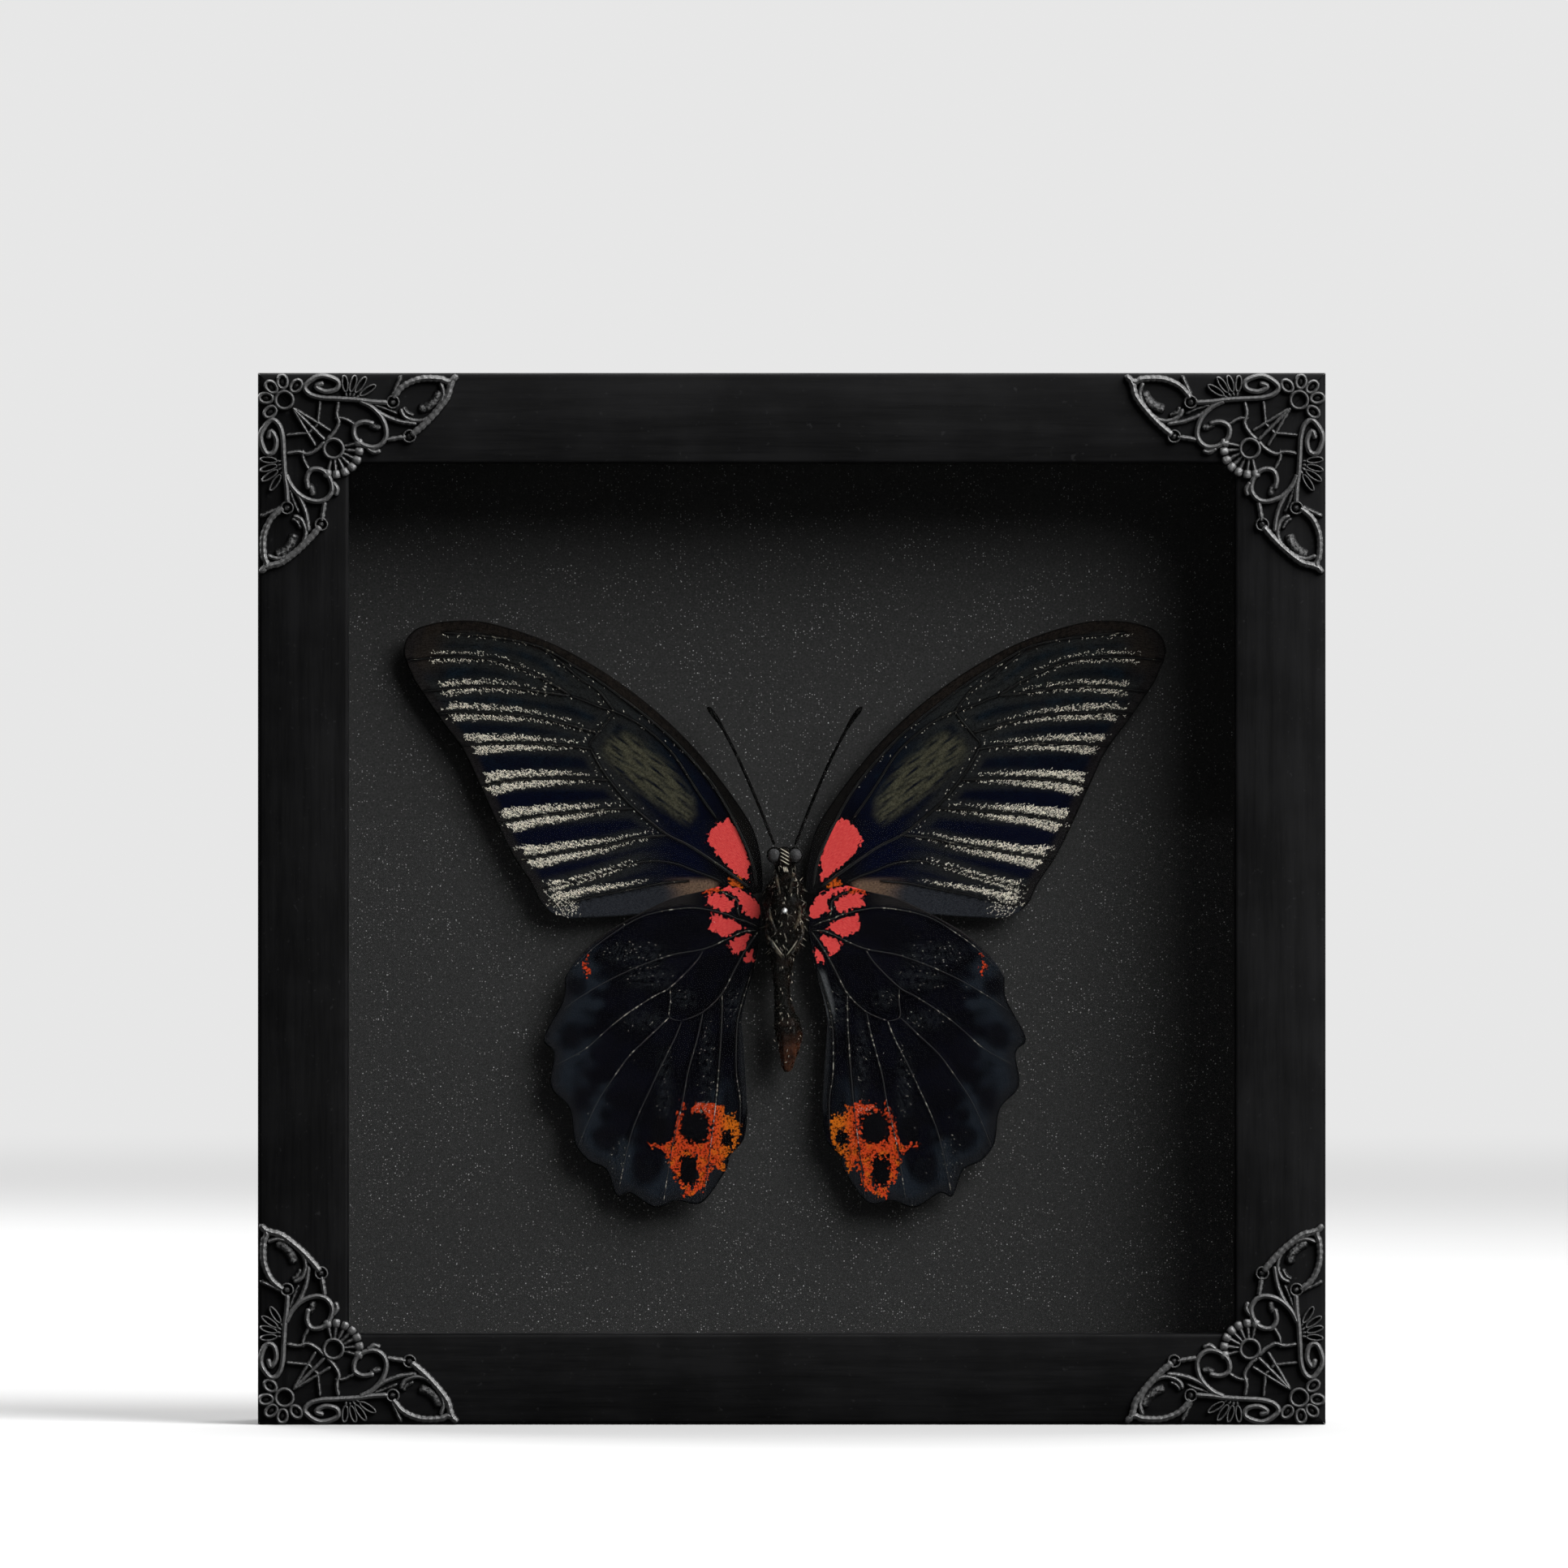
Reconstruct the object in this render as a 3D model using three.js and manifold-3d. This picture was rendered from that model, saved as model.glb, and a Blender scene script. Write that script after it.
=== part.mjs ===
// A swallowtail butterfly, underside up, pinned in a black wooden shadow box with filigree corners.
// Millimetres. +Z is up and the viewer looks along +Y. The origin is at the middle of the box's foot.
import * as THREE from "three";
import { mergeVertices } from "three/addons/utils/BufferGeometryUtils.js";
import Module from "manifold-3d";

const wasm = await Module();
wasm.setup();

// The box
const FRAME_WIDTH = 200;
const FRAME_HEIGHT = 197;
const FRAME_DEPTH = 32;
const FACE_WIDTH = 17; // a rail's front, from its outer edge to the sight edge
const LIP_DEPTH = 3; // the lip in front of the glass
const RABBET = 5; // how far the lip stands over the glass
const MITRE_GAP = 0.1;

// What the rabbet holds, from front to back
const PANE_CLEARANCE = 0.4;
const GLASS_THICKNESS = 2;
const SPACER_DEPTH = 18;
const SPACER_THICKNESS = 4.2;
const SPACER_GAP = 0.3;
const BACKING_THICKNESS = 3;
const BACK_PANEL_THICKNESS = 3;

// Steel on the back
const POINT_SIZE = { length: 14, width: 6, thickness: 0.6 };
const POINT_BITE = 5; // how much of a point is driven into its rail
const POINT_OFFSET = 45; // from the middle of a rail
const STEEL_GAP = 0.3;
const HANGER = { length: 46, height: 9, thickness: 0.8, teeth: 11, toothDepth: 1.6, nailOffset: 19 };
const NAIL = { headRadius: 1.7, headThickness: 0.6, radius: 0.6, length: 7 };

// The filigree corners
const FILIGREE_THICKNESS = 1.4;

// The specimen
const SPECIMEN_X = -1.3; // the body's axis, left of the middle of the box
const SPECIMEN_Z = 96.6; // the middle of the thorax
const THORAX_Y = 2.2;
const BODY_DEPTH_RATIO = 1.15;
const WING_THICKNESS = 0.4;
const FOREWING_BACK_Y = 3.6;
const HINDWING_BACK_Y = 2.9;
const EYE = { radius: 1.2, x: 2.05, y: 1, z: 9.7 };
const LEG_RADIUS = 0.36;
const ANTENNA_RADIUS = 0.3;
const PIN = { radius: 0.3, headRadius: 0.6, z: -0.4, clearance: 0.3, depthInBacking: 2 };

// Worked out from the sizes above
const FRONT_Y = -FRAME_DEPTH / 2;
const BACK_Y = FRAME_DEPTH / 2;
const GLASS_Y = FRONT_Y + LIP_DEPTH;
const SPACER_Y = GLASS_Y + GLASS_THICKNESS;
const BACKING_Y = SPACER_Y + SPACER_DEPTH;
const BACK_PANEL_Y = BACKING_Y + BACKING_THICKNESS;
const RECESS_Y = BACK_PANEL_Y + BACK_PANEL_THICKNESS;
const WALL_WIDTH = FACE_WIDTH - RABBET;
const PANE_WIDTH = FRAME_WIDTH - 2 * (WALL_WIDTH + PANE_CLEARANCE);
const PANE_HEIGHT = FRAME_HEIGHT - 2 * (WALL_WIDTH + PANE_CLEARANCE);
const MIDDLE_Z = FRAME_HEIGHT / 2;

const finishes = {
  blackWood: new THREE.MeshStandardMaterial({ color: 0x161616, roughness: 0.6 }),
  glass: new THREE.MeshStandardMaterial({
    color: 0xffffff,
    roughness: 0.02,
    transparent: true,
    opacity: 0.12,
  }),
  blackCard: new THREE.MeshStandardMaterial({ color: 0x121212, roughness: 0.9 }),
  charcoalPaper: new THREE.MeshStandardMaterial({ color: 0x343436, roughness: 0.85 }),
  hardboard: new THREE.MeshStandardMaterial({ color: 0x1c1a18, roughness: 0.8 }),
  steel: new THREE.MeshStandardMaterial({ color: 0x9a9a98, roughness: 0.4, metalness: 1 }),
  antiqueSilver: new THREE.MeshStandardMaterial({ color: 0x77777a, roughness: 0.45, metalness: 1 }),
  forewing: new THREE.MeshStandardMaterial({ color: 0x262a30, roughness: 0.6 }),
  hindwing: new THREE.MeshStandardMaterial({ color: 0x0c0d14, roughness: 0.6 }),
  insectBody: new THREE.MeshStandardMaterial({ color: 0x14100d, roughness: 0.7 }),
};

// Helpers

/** A closed geometry as a solid that can be joined and cut. */
function toSolid(geometry) {
  const bare = geometry.clone();
  bare.deleteAttribute("normal");
  bare.deleteAttribute("uv");
  const merged = mergeVertices(bare);
  const triVerts = new Uint32Array(merged.index.array);
  const vertProperties = merged.attributes.position.array;
  return new wasm.Manifold(new wasm.Mesh({ numProp: 3, vertProperties, triVerts }));
}

/** A solid as a geometry again. */
function toGeometry(solid) {
  const { vertProperties, triVerts } = solid.getMesh();
  const geometry = new THREE.BufferGeometry();
  geometry.setAttribute("position", new THREE.BufferAttribute(vertProperties, 3));
  geometry.setIndex(new THREE.BufferAttribute(triVerts, 1));
  geometry.computeVertexNormals();
  return geometry;
}

function joined(geometries) {
  return geometries.map(toSolid).reduce((whole, next) => whole.add(next));
}

function piece(name, geometry, material) {
  const mesh = new THREE.Mesh(geometry, material);
  mesh.name = name;
  return mesh;
}

/** A box from its width, height and the depths at which it starts and ends, centred in x and z. */
function slab(width, height, frontY, depth) {
  return new THREE.BoxGeometry(width, depth, height).translate(0, frontY + depth / 2, 0);
}

/** A round bar along Y. */
function barAlongY(radius, frontY, length, sides) {
  return new THREE.CylinderGeometry(radius, radius, length, sides).translate(0, frontY + length / 2, 0);
}

/** An outline drawn in x and z, made thick from frontY towards the back. */
function sheet(shape, frontY, thickness) {
  const geometry = new THREE.ExtrudeGeometry(shape, { depth: thickness, bevelEnabled: false });
  return geometry.rotateX(Math.PI / 2).translate(0, frontY + thickness, 0);
}

const toVectors = (points) => points.map(([x, y]) => new THREE.Vector2(x, y));

/** A smooth line through hand-set points. */
const smoothLine = (points, steps) => new THREE.SplineCurve(toVectors(points)).getPoints(steps);

// Frame

/** A rail lying along X with its outer edge on z = 0. Its ends draw back by the inset, so they are mitred. */
function railGeometry(length) {
  const profile = new THREE.Shape(
    toVectors([
      [0, FRONT_Y],
      [FACE_WIDTH, FRONT_Y],
      [FACE_WIDTH, GLASS_Y],
      [WALL_WIDTH, GLASS_Y],
      [WALL_WIDTH, BACK_Y],
      [0, BACK_Y],
    ]),
  );
  const geometry = new THREE.ExtrudeGeometry(profile, { depth: 1, bevelEnabled: false });
  const position = geometry.attributes.position;
  for (let i = 0; i < position.count; i++) {
    const inset = position.getX(i);
    const side = 2 * position.getZ(i) - 1;
    position.setZ(i, side * (length / 2 - inset - MITRE_GAP));
  }
  return geometry.rotateY(-Math.PI / 2);
}

/** Slots in a rail's wall for the points that are driven into it. */
function pointSlots() {
  const { width, thickness } = POINT_SIZE;
  const gap = 2 * STEEL_GAP;
  const slot = new THREE.BoxGeometry(width + gap, thickness + gap, 2 * POINT_BITE + gap);
  slot.translate(0, RECESS_Y + STEEL_GAP + thickness / 2, WALL_WIDTH);
  return [-POINT_OFFSET, POINT_OFFSET].map((x) => slot.clone().translate(x, 0, 0));
}

/** Holes in the top rail's back for the hanger's nails. */
function nailHoles() {
  const hole = barAlongY(NAIL.radius + STEEL_GAP, BACK_Y - NAIL.length - STEEL_GAP, NAIL.length + 2, 8);
  return [-HANGER.nailOffset, HANGER.nailOffset].map((x) => hole.clone().translate(x, 0, WALL_WIDTH / 2));
}

function steelPoint() {
  const { length, width, thickness } = POINT_SIZE;
  const reach = length - POINT_BITE;
  const outline = new THREE.Shape(
    toVectors([
      [-width / 2, WALL_WIDTH - POINT_BITE],
      [width / 2, WALL_WIDTH - POINT_BITE],
      [width / 2, WALL_WIDTH + reach - width / 2],
      [0, WALL_WIDTH + reach],
      [-width / 2, WALL_WIDTH + reach - width / 2],
    ]),
  );
  return sheet(outline, RECESS_Y + STEEL_GAP, thickness);
}

/** One side of the frame in its own group: the rail with its spacer and its two points. */
function side(name, length, spacerLength, cuts) {
  const group = new THREE.Group();
  const solid = cuts.reduce((whole, cut) => whole.subtract(toSolid(cut)), toSolid(railGeometry(length)));
  group.add(piece(`rail_${name}`, toGeometry(solid), finishes.blackWood));

  const spacer = slab(spacerLength, SPACER_THICKNESS, SPACER_Y, SPACER_DEPTH);
  spacer.translate(0, 0, WALL_WIDTH + PANE_CLEARANCE + SPACER_THICKNESS / 2);
  group.add(piece(`spacer_${name}`, spacer, finishes.blackCard));

  ["a", "b"].forEach((letter, i) => {
    const point = steelPoint().translate(i ? POINT_OFFSET : -POINT_OFFSET, 0, 0);
    group.add(piece(`point_${name}_${letter}`, point, finishes.steel));
  });
  return group;
}

/** A steel strip with a toothed lower edge, which hooks on a nail in a wall. */
function sawtoothHanger() {
  const { length, height, thickness, teeth, toothDepth } = HANGER;
  const flat = length / 2 - 12;
  const edge = [];
  for (let i = 0; i <= teeth; i++) {
    const x = -flat + (2 * flat * i) / teeth;
    edge.push([x, 0]);
    if (i < teeth) edge.push([x + flat / teeth, toothDepth]);
  }
  const outline = [[-length / 2, 0], ...edge, [length / 2, 0], [length / 2, height], [-length / 2, height]];
  const strip = sheet(new THREE.Shape(toVectors(outline)), BACK_Y, thickness);
  const lift = FRAME_HEIGHT - WALL_WIDTH / 2 - height / 2;
  const holes = nailHoles().map((hole) => hole.translate(0, 0, FRAME_HEIGHT - WALL_WIDTH));
  return toGeometry(
    holes.reduce((whole, hole) => whole.subtract(toSolid(hole)), toSolid(strip.translate(0, 0, lift))),
  );
}

function hangerNail(x) {
  const headY = BACK_Y + HANGER.thickness;
  const tip = headY - NAIL.length;
  const profile = [
    [0, tip],
    [NAIL.radius, tip + 2],
    [NAIL.radius, headY],
    [NAIL.headRadius, headY],
    [NAIL.headRadius, headY + NAIL.headThickness],
    [0, headY + NAIL.headThickness],
  ];
  return new THREE.LatheGeometry(toVectors(profile), 10).translate(x, 0, FRAME_HEIGHT - WALL_WIDTH / 2);
}

function frame() {
  const group = new THREE.Group();
  const between = PANE_HEIGHT - 2 * (SPACER_THICKNESS + SPACER_GAP);
  const sides = [
    ["bottom", FRAME_WIDTH, PANE_WIDTH, 0, FRAME_HEIGHT / 2],
    ["left", FRAME_HEIGHT, between, 1, FRAME_WIDTH / 2],
    ["top", FRAME_WIDTH, PANE_WIDTH, 2, FRAME_HEIGHT / 2],
    ["right", FRAME_HEIGHT, between, 3, FRAME_WIDTH / 2],
  ];
  for (const [name, length, spacerLength, quarterTurns, reach] of sides) {
    const cuts = name === "top" ? [...pointSlots(), ...nailHoles()] : pointSlots();
    const made = side(name, length, spacerLength, cuts);
    made.children.forEach((mesh) => mesh.geometry.translate(0, 0, -reach));
    made.rotation.y = (quarterTurns * Math.PI) / 2;
    made.position.z = MIDDLE_Z;
    group.add(made);
  }
  group.add(piece("sawtooth_hanger", sawtoothHanger(), finishes.steel));
  group.add(piece("hanger_nail_left", hangerNail(-HANGER.nailOffset), finishes.steel));
  group.add(piece("hanger_nail_right", hangerNail(HANGER.nailOffset), finishes.steel));
  return group;
}

// Panes and boards that the frame holds

function panes() {
  const group = new THREE.Group();
  group.position.z = MIDDLE_Z;
  group.add(piece("glass_pane", slab(PANE_WIDTH, PANE_HEIGHT, GLASS_Y, GLASS_THICKNESS), finishes.glass));

  const holeDepth = PIN.depthInBacking + PIN.clearance;
  const pinHole = barAlongY(PIN.radius + PIN.clearance, BACKING_Y - 1, holeDepth + 1, 8);
  pinHole.translate(SPECIMEN_X, 0, SPECIMEN_Z + PIN.z - MIDDLE_Z);
  const board = slab(PANE_WIDTH, PANE_HEIGHT, BACKING_Y, BACKING_THICKNESS);
  const drilled = toSolid(board).subtract(toSolid(pinHole));
  group.add(piece("backing_board", toGeometry(drilled), finishes.charcoalPaper));

  const panel = slab(PANE_WIDTH, PANE_HEIGHT, BACK_PANEL_Y, BACK_PANEL_THICKNESS);
  group.add(piece("back_panel", panel, finishes.hardboard));
  return group;
}

// Filigree corners. Points are distances from the corner along its two edges, and each half
// is the other with the two distances exchanged.

const CORNER_FLOWER = {
  at: [5, 5.1],
  outer: 2,
  inner: 1.3,
  reach: 4.9,
  half: 0.85,
  leaves: [140, 186, 225, 264, 310],
};
const INNER_FLOWER = {
  at: [14.2, 14.2],
  outer: 2.1,
  inner: 1.4,
  reach: 5.9,
  half: 0.68,
  leaves: [-13, 6, 26, 45, 64, 84, 103],
};
const BEADS = [
  [25.3, 5.5],
  [28.4, 11.9],
];
const BEAD_RADIUS = 1;
const RING_SIDES = 10;
const OUTLINE_TOLERANCE = 0.12; // how far a thinned outline may stray
const SMALLEST_OPENING = 0.2; // square millimetres

const STEM_AND_SCROLL = {
  width: 0.85,
  steps: 20,
  points: [
    [24.6, 5.6], [21.3, 5.4], [18.5, 5.05], [15, 4.85], [11.8, 4.65], [9.6, 3.9], [8.9, 2.4],
    [11.7, 0.6], [14.9, 1.5], [14.8, 3], [12.6, 3.5], [10.9, 2.5], [12.6, 1.9],
  ],
};
const OPEN_SCROLL = {
  width: 0.85,
  steps: 16,
  points: [
    [22, 9.6], [19.8, 9.2], [18.2, 10], [18.1, 11.7], [19, 13], [20.5, 13.8], [22.1, 13.9],
    [23.5, 13], [24.1, 11.5], [23.8, 9.6], [22.8, 7.8], [21, 6.2], [18.8, 5.2],
  ],
};
const DROP_FOOT = {
  width: 1,
  steps: 7,
  points: [[25.2, 4.9], [27.3, 2.5], [30.5, 1.2], [34.2, 1.2], [35.9, 1.7], [37.6, 0.4]],
};
const DROP_BACK = {
  width: 1.1,
  steps: 6,
  points: [[36.7, 1], [36.1, 2.4], [35.5, 4.5], [33.4, 7.3], [31, 9.8], [28.6, 11.8]],
};
const DROP_LEAF = {
  width: 0.8,
  steps: 6,
  points: [[26.7, 6.5], [27.5, 8.2], [29.7, 9], [31.9, 8.4], [33.8, 6.4], [34.8, 3.9], [34.1, 1.6]],
};
const DROP_HOOK = { width: 0.7, steps: 3, points: [[29.6, 6.8], [30.6, 5.5], [32.6, 5.2], [34.6, 4.4]] };
const LONG_LEAF = { width: 0.75, steps: 3, points: [[20.6, 5.9], [23.5, 7.9], [26.5, 9.1], [30, 9.6]] };
const TRELLIS_SIDE = {
  width: 0.7,
  steps: 6,
  points: [[6.4, 6.4], [10, 7], [13.1, 7.9], [14.6, 9.4], [14.5, 10.9], [12.8, 12.8]],
};
const TIES = [
  [[24, 12.6], [26.3, 12.2], [28, 12]],
  [[10.9, 4.6], [10.9, 9.6], [14.5, 9.9]],
  [[14.6, 5], [13.9, 8.2]],
  [[14.2, 8.5], [16.2, 8.6], [18.4, 9.8]],
  [[24.9, 4.8], [27, 0.4]],
].map((points) => ({ width: 0.65, steps: 2, points }));
const FAN_LOBES = [
  [[16.9, 5], [16.8, 0.6]],
  [[17, 5], [18.6, 0.6]],
  [[17, 5], [20.4, 0.9]],
  [[17.2, 5], [22.1, 2.5]],
].map((points) => ({ width: 0.9, steps: 1, points }));
const HALF_STROKES = [
  STEM_AND_SCROLL,
  OPEN_SCROLL,
  DROP_FOOT,
  DROP_BACK,
  DROP_LEAF,
  DROP_HOOK,
  LONG_LEAF,
  TRELLIS_SIDE,
  ...TIES,
  ...FAN_LOBES,
];
const DIAGONAL_STROKE = { width: 0.7, steps: 1, points: [[6.4, 6.4], [12.8, 12.8]] };

/** An outline made as thick as the filigree. */
const flat = (outline) =>
  new THREE.ExtrudeGeometry(outline, { depth: FILIGREE_THICKNESS, bevelEnabled: false });

/** A band of constant width along a line. */
function strokeGeometry({ points, width, steps }) {
  const line = points.length > 2 ? smoothLine(points, steps) : toVectors(points);
  const left = [];
  const right = [];
  line.forEach((at, i) => {
    const ahead = line[Math.min(i + 1, line.length - 1)];
    const behind = line[Math.max(i - 1, 0)];
    const across = ahead.clone().sub(behind).normalize().multiplyScalar(width / 2);
    left.push(new THREE.Vector2(at.x - across.y, at.y + across.x));
    right.unshift(new THREE.Vector2(at.x + across.y, at.y - across.x));
  });
  return flat(new THREE.Shape([...left, ...right].reverse()));
}

function discGeometry([x, y], radius) {
  const disc = new THREE.CylinderGeometry(radius, radius, FILIGREE_THICKNESS, RING_SIDES);
  return disc.rotateX(Math.PI / 2).translate(x, y, FILIGREE_THICKNESS / 2);
}

/** A flower's disc and its fan of leaves, narrow at the disc and round at their tips. */
function flowerGeometries({ at, outer, inner, leaves, reach, half }) {
  const leaf = new THREE.Shape(
    toVectors([
      [inner, -half / 2],
      [reach - half, -half],
      [reach - half / 4, -half / 2],
      [reach - half / 4, half / 2],
      [reach - half, half],
      [inner, half / 2],
    ]),
  );
  const fan = leaves.map((angle) =>
    flat(leaf).rotateZ(THREE.MathUtils.degToRad(angle)).translate(at[0], at[1], 0),
  );
  return [discGeometry(at, outer), ...fan];
}

const exchanged = ([a, b]) => [b, a];

/** All strokes, beads and flowers of a corner joined, lying in x and y with the back on z = 0. */
function joinedFiligree() {
  const pieces = [strokeGeometry(DIAGONAL_STROKE)];
  for (const stroke of HALF_STROKES) {
    pieces.push(strokeGeometry(stroke));
    pieces.push(strokeGeometry({ ...stroke, points: stroke.points.map(exchanged) }));
  }
  for (const bead of BEADS) {
    pieces.push(discGeometry(bead, BEAD_RADIUS));
    pieces.push(discGeometry(exchanged(bead), BEAD_RADIUS));
  }
  const flowers = [CORNER_FLOWER, INNER_FLOWER];
  pieces.push(...flowers.flatMap(flowerGeometries));
  const holes = flowers.map(({ at, inner }) => discGeometry(at, inner));
  return holes.reduce((whole, hole) => whole.subtract(toSolid(hole)), joined(pieces));
}

/** The closed lines round the back face of a flat solid: its outline and its openings. */
function backFaceLines(solid) {
  const { vertProperties, triVerts } = solid.getMesh();
  const at = (vertex) => new THREE.Vector2(vertProperties[3 * vertex], vertProperties[3 * vertex + 1]);
  const isBack = (vertex) => Math.abs(vertProperties[3 * vertex + 2]) < 1e-4;
  const edges = new Map();
  for (let i = 0; i < triVerts.length; i += 3) {
    const corners = [triVerts[i], triVerts[i + 1], triVerts[i + 2]];
    if (!corners.every(isBack)) continue;
    corners.forEach((corner, k) => {
      const following = corners[(k + 1) % 3];
      edges.set(`${corner} ${following}`, [corner, following]);
    });
  }
  const next = new Map([...edges.values()].filter(([a, b]) => !edges.has(`${b} ${a}`)));
  const lines = [];
  while (next.size) {
    const line = [];
    let vertex = next.keys().next().value;
    while (next.has(vertex)) {
      const following = next.get(vertex);
      next.delete(vertex);
      line.push(at(vertex));
      vertex = following;
    }
    lines.push(line);
  }
  return lines;
}

/** A closed line without the points that lie on the straight between their neighbours. */
function thinned(line) {
  const kept = [];
  line.forEach((point, i) => {
    const before = kept.length ? kept[kept.length - 1] : line[line.length - 1];
    const along = line[(i + 1) % line.length].clone().sub(before);
    const offset = point.clone().sub(before);
    const stray = Math.abs(along.cross(offset)) / Math.max(along.length(), 1e-6);
    if (stray > OUTLINE_TOLERANCE || along.dot(offset) < 0) kept.push(point);
  });
  return kept;
}

/** One corner as a clean openwork plate, retraced from the joined strokes. */
function filigreeGeometry() {
  const size = (line) => Math.abs(THREE.ShapeUtils.area(line));
  const lines = backFaceLines(joinedFiligree()).filter((line) => size(line) > SMALLEST_OPENING);
  lines.sort((one, other) => size(other) - size(one));
  const [outline, ...openings] = lines.map(thinned);
  const plate = new THREE.Shape(outline);
  plate.holes = openings.map((opening) => new THREE.Path(opening));
  return flat(plate).rotateX(Math.PI / 2);
}

function filigreeCorners() {
  const group = new THREE.Group();
  const geometry = filigreeGeometry();
  const corners = [
    ["bottom_left", 0, 0, -1],
    ["top_left", 1, 1, -1],
    ["top_right", 2, 1, 1],
    ["bottom_right", 3, 0, 1],
  ];
  for (const [name, quarterTurns, up, sideways] of corners) {
    const corner = piece(`filigree_${name}`, geometry, finishes.antiqueSilver);
    corner.rotation.y = (quarterTurns * Math.PI) / 2;
    corner.position.set((sideways * FRAME_WIDTH) / 2, FRONT_Y, up * FRAME_HEIGHT);
    group.add(corner);
  }
  return group;
}

// Wings. Points are distances outwards from the body's axis and up from the middle of the thorax.

const FOREWING = {
  costa: [[4.1, 4], [4.8, 11.2], [7.7, 18], [17.4, 30.6], [29, 41], [42.6, 49.3], [56.1, 53.8], [64.5, 54]],
  apex: [[64.5, 54], [69.7, 52.4], [71.8, 48.5], [69.7, 42.7]],
  outer: [
    [69.7, 42.7], [65.1, 35.9], [60.5, 29.6], [57.4, 23.1],
    [54, 15.6], [51.1, 9.8], [47.7, 4.7], [46.2, 1.4],
  ],
  tornus: [[46.2, 1.4], [44.5, -0.4], [42.1, -1.5], [40.2, -1.9]],
  inner: [[40.2, -1.9], [30.5, -1.4], [17.8, 0], [4.4, 3]],
  steps: [14, 6, 12, 4, 4],
};
const HINDWING = {
  costa: [
    [4.5, -3.2], [4.9, 1], [7, 3.2], [10.9, 4.3], [15.6, 3.2],
    [22.4, 1.4], [32.6, -3.9], [38.2, -8.4], [41.4, -13],
  ],
  // each lobe of the outer margin: its start in a notch, its shoulder and its tip
  outer: [
    [41.4, -13], [41.8, -17.3], [45.4, -24.4], [43.5, -27.3], [44.1, -33.5], [40.5, -37.8],
    [39.5, -44.2], [36.9, -47.6], [33.6, -49.3], [31.6, -54.2], [29.2, -53.6], [24.5, -56.3],
    [20.3, -55.1], [15.6, -55.4], [11.1, -49.3], [10.5, -46.8], [7.7, -43.4], [7, -38],
  ],
  inner: [[7, -38], [7.7, -26.3], [8, -19], [5.6, -9.6], [4.5, -3.2]],
  steps: [14, 36, 8],
};

function wingOutline(edges, steps) {
  return new THREE.Shape(edges.flatMap((edge, i) => smoothLine(edge, steps[i]).slice(1)).reverse());
}

const forewingOutline = wingOutline(
  [FOREWING.costa, FOREWING.apex, FOREWING.outer, FOREWING.tornus, [...FOREWING.inner, FOREWING.costa[0]]],
  FOREWING.steps,
);
const hindwingOutline = wingOutline([HINDWING.costa, HINDWING.outer, HINDWING.inner], HINDWING.steps);

/** Four wings; the left ones mirror the right ones. */
function wings() {
  const group = new THREE.Group();
  const pairs = [
    ["forewing", forewingOutline, FOREWING_BACK_Y],
    ["hindwing", hindwingOutline, HINDWING_BACK_Y],
  ];
  for (const [name, outline, backY] of pairs) {
    const geometry = sheet(outline, backY - WING_THICKNESS, WING_THICKNESS);
    const right = piece(`${name}_right`, geometry, finishes[name]);
    const left = piece(`${name}_left`, geometry, finishes[name]);
    left.scale.x = -1;
    group.add(right, left);
  }
  return group;
}

// Body. The first number is the height above the middle of the thorax, the second the half width,
// the third how far the dried abdomen bends to the right there.
const BODY_STATIONS = [
  [11.7, 0, 0], [11.2, 1.5, 0], [9.6, 2.3, 0], [7.9, 1.9, 0], [6.4, 1.7, 0], [4.6, 3.1, 0], [1.5, 3.65, 0],
  [-3, 3.65, 0], [-6.5, 3, 0], [-9, 2.3, -0.4], [-12, 1.75, -0.6], [-15.8, 1.45, -0.5], [-19, 1.75, -0.2],
  [-22.6, 2.5, 0.6], [-25.1, 2.15, 0.9], [-28.2, 1.4, 0.6], [-30.4, 0.8, 0.4], [-30.9, 0, 0.35],
];
const BODY_SIDES = 12;

// Folded legs of the right side, as points in x, y and z from the middle of the thorax.
const LEGS = [
  [[0.9, -0.6, 4.2], [1.7, -4.4, 6.4], [0.9, -4.3, 2.6]],
  [[1.8, -1.2, 1.6], [2.9, -4, -0.8], [1.5, -4.5, -4.6]],
  [[2.8, -0.6, -2], [3.2, -3.2, -5.2], [0.5, -3.7, -9.4]],
];
const LEG_STEPS = 3;
const LEG_SIDES = 6;
const ANTENNA = [[1.9, 0, 11.8], [5.4, -0.6, 20.6], [8.9, -1, 28.5], [12.3, -1.2, 34.9], [14.6, -1.2, 38]];
const ANTENNA_STEPS = 8;

/** A tube with flat ends along a line through points in x, y and z. */
function tube(points, radius, sides, steps) {
  const path = new THREE.CatmullRomCurve3(points.map((point) => new THREE.Vector3(...point)));
  const section = new THREE.Shape();
  section.absarc(0, 0, radius, 0, 2 * Math.PI);
  return new THREE.ExtrudeGeometry(section, { curveSegments: sides / 2, steps, extrudePath: path });
}

function trunkGeometry() {
  const heights = BODY_STATIONS.map(([z]) => z);
  const profile = BODY_STATIONS.map(([z, halfWidth]) => [halfWidth, z]).reverse();
  const geometry = new THREE.LatheGeometry(toVectors(profile), BODY_SIDES).rotateX(Math.PI / 2);
  const position = geometry.attributes.position;
  for (let i = 0; i < position.count; i++) {
    const z = position.getZ(i);
    const nearest = heights.findIndex((height) => height <= z + 1e-3);
    position.setX(i, position.getX(i) + BODY_STATIONS[nearest][2]);
    position.setY(i, position.getY(i) * BODY_DEPTH_RATIO);
  }
  return geometry;
}

function mirroredPoints(points) {
  return points.map(([x, y, z]) => [-x, y, z]);
}

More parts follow.
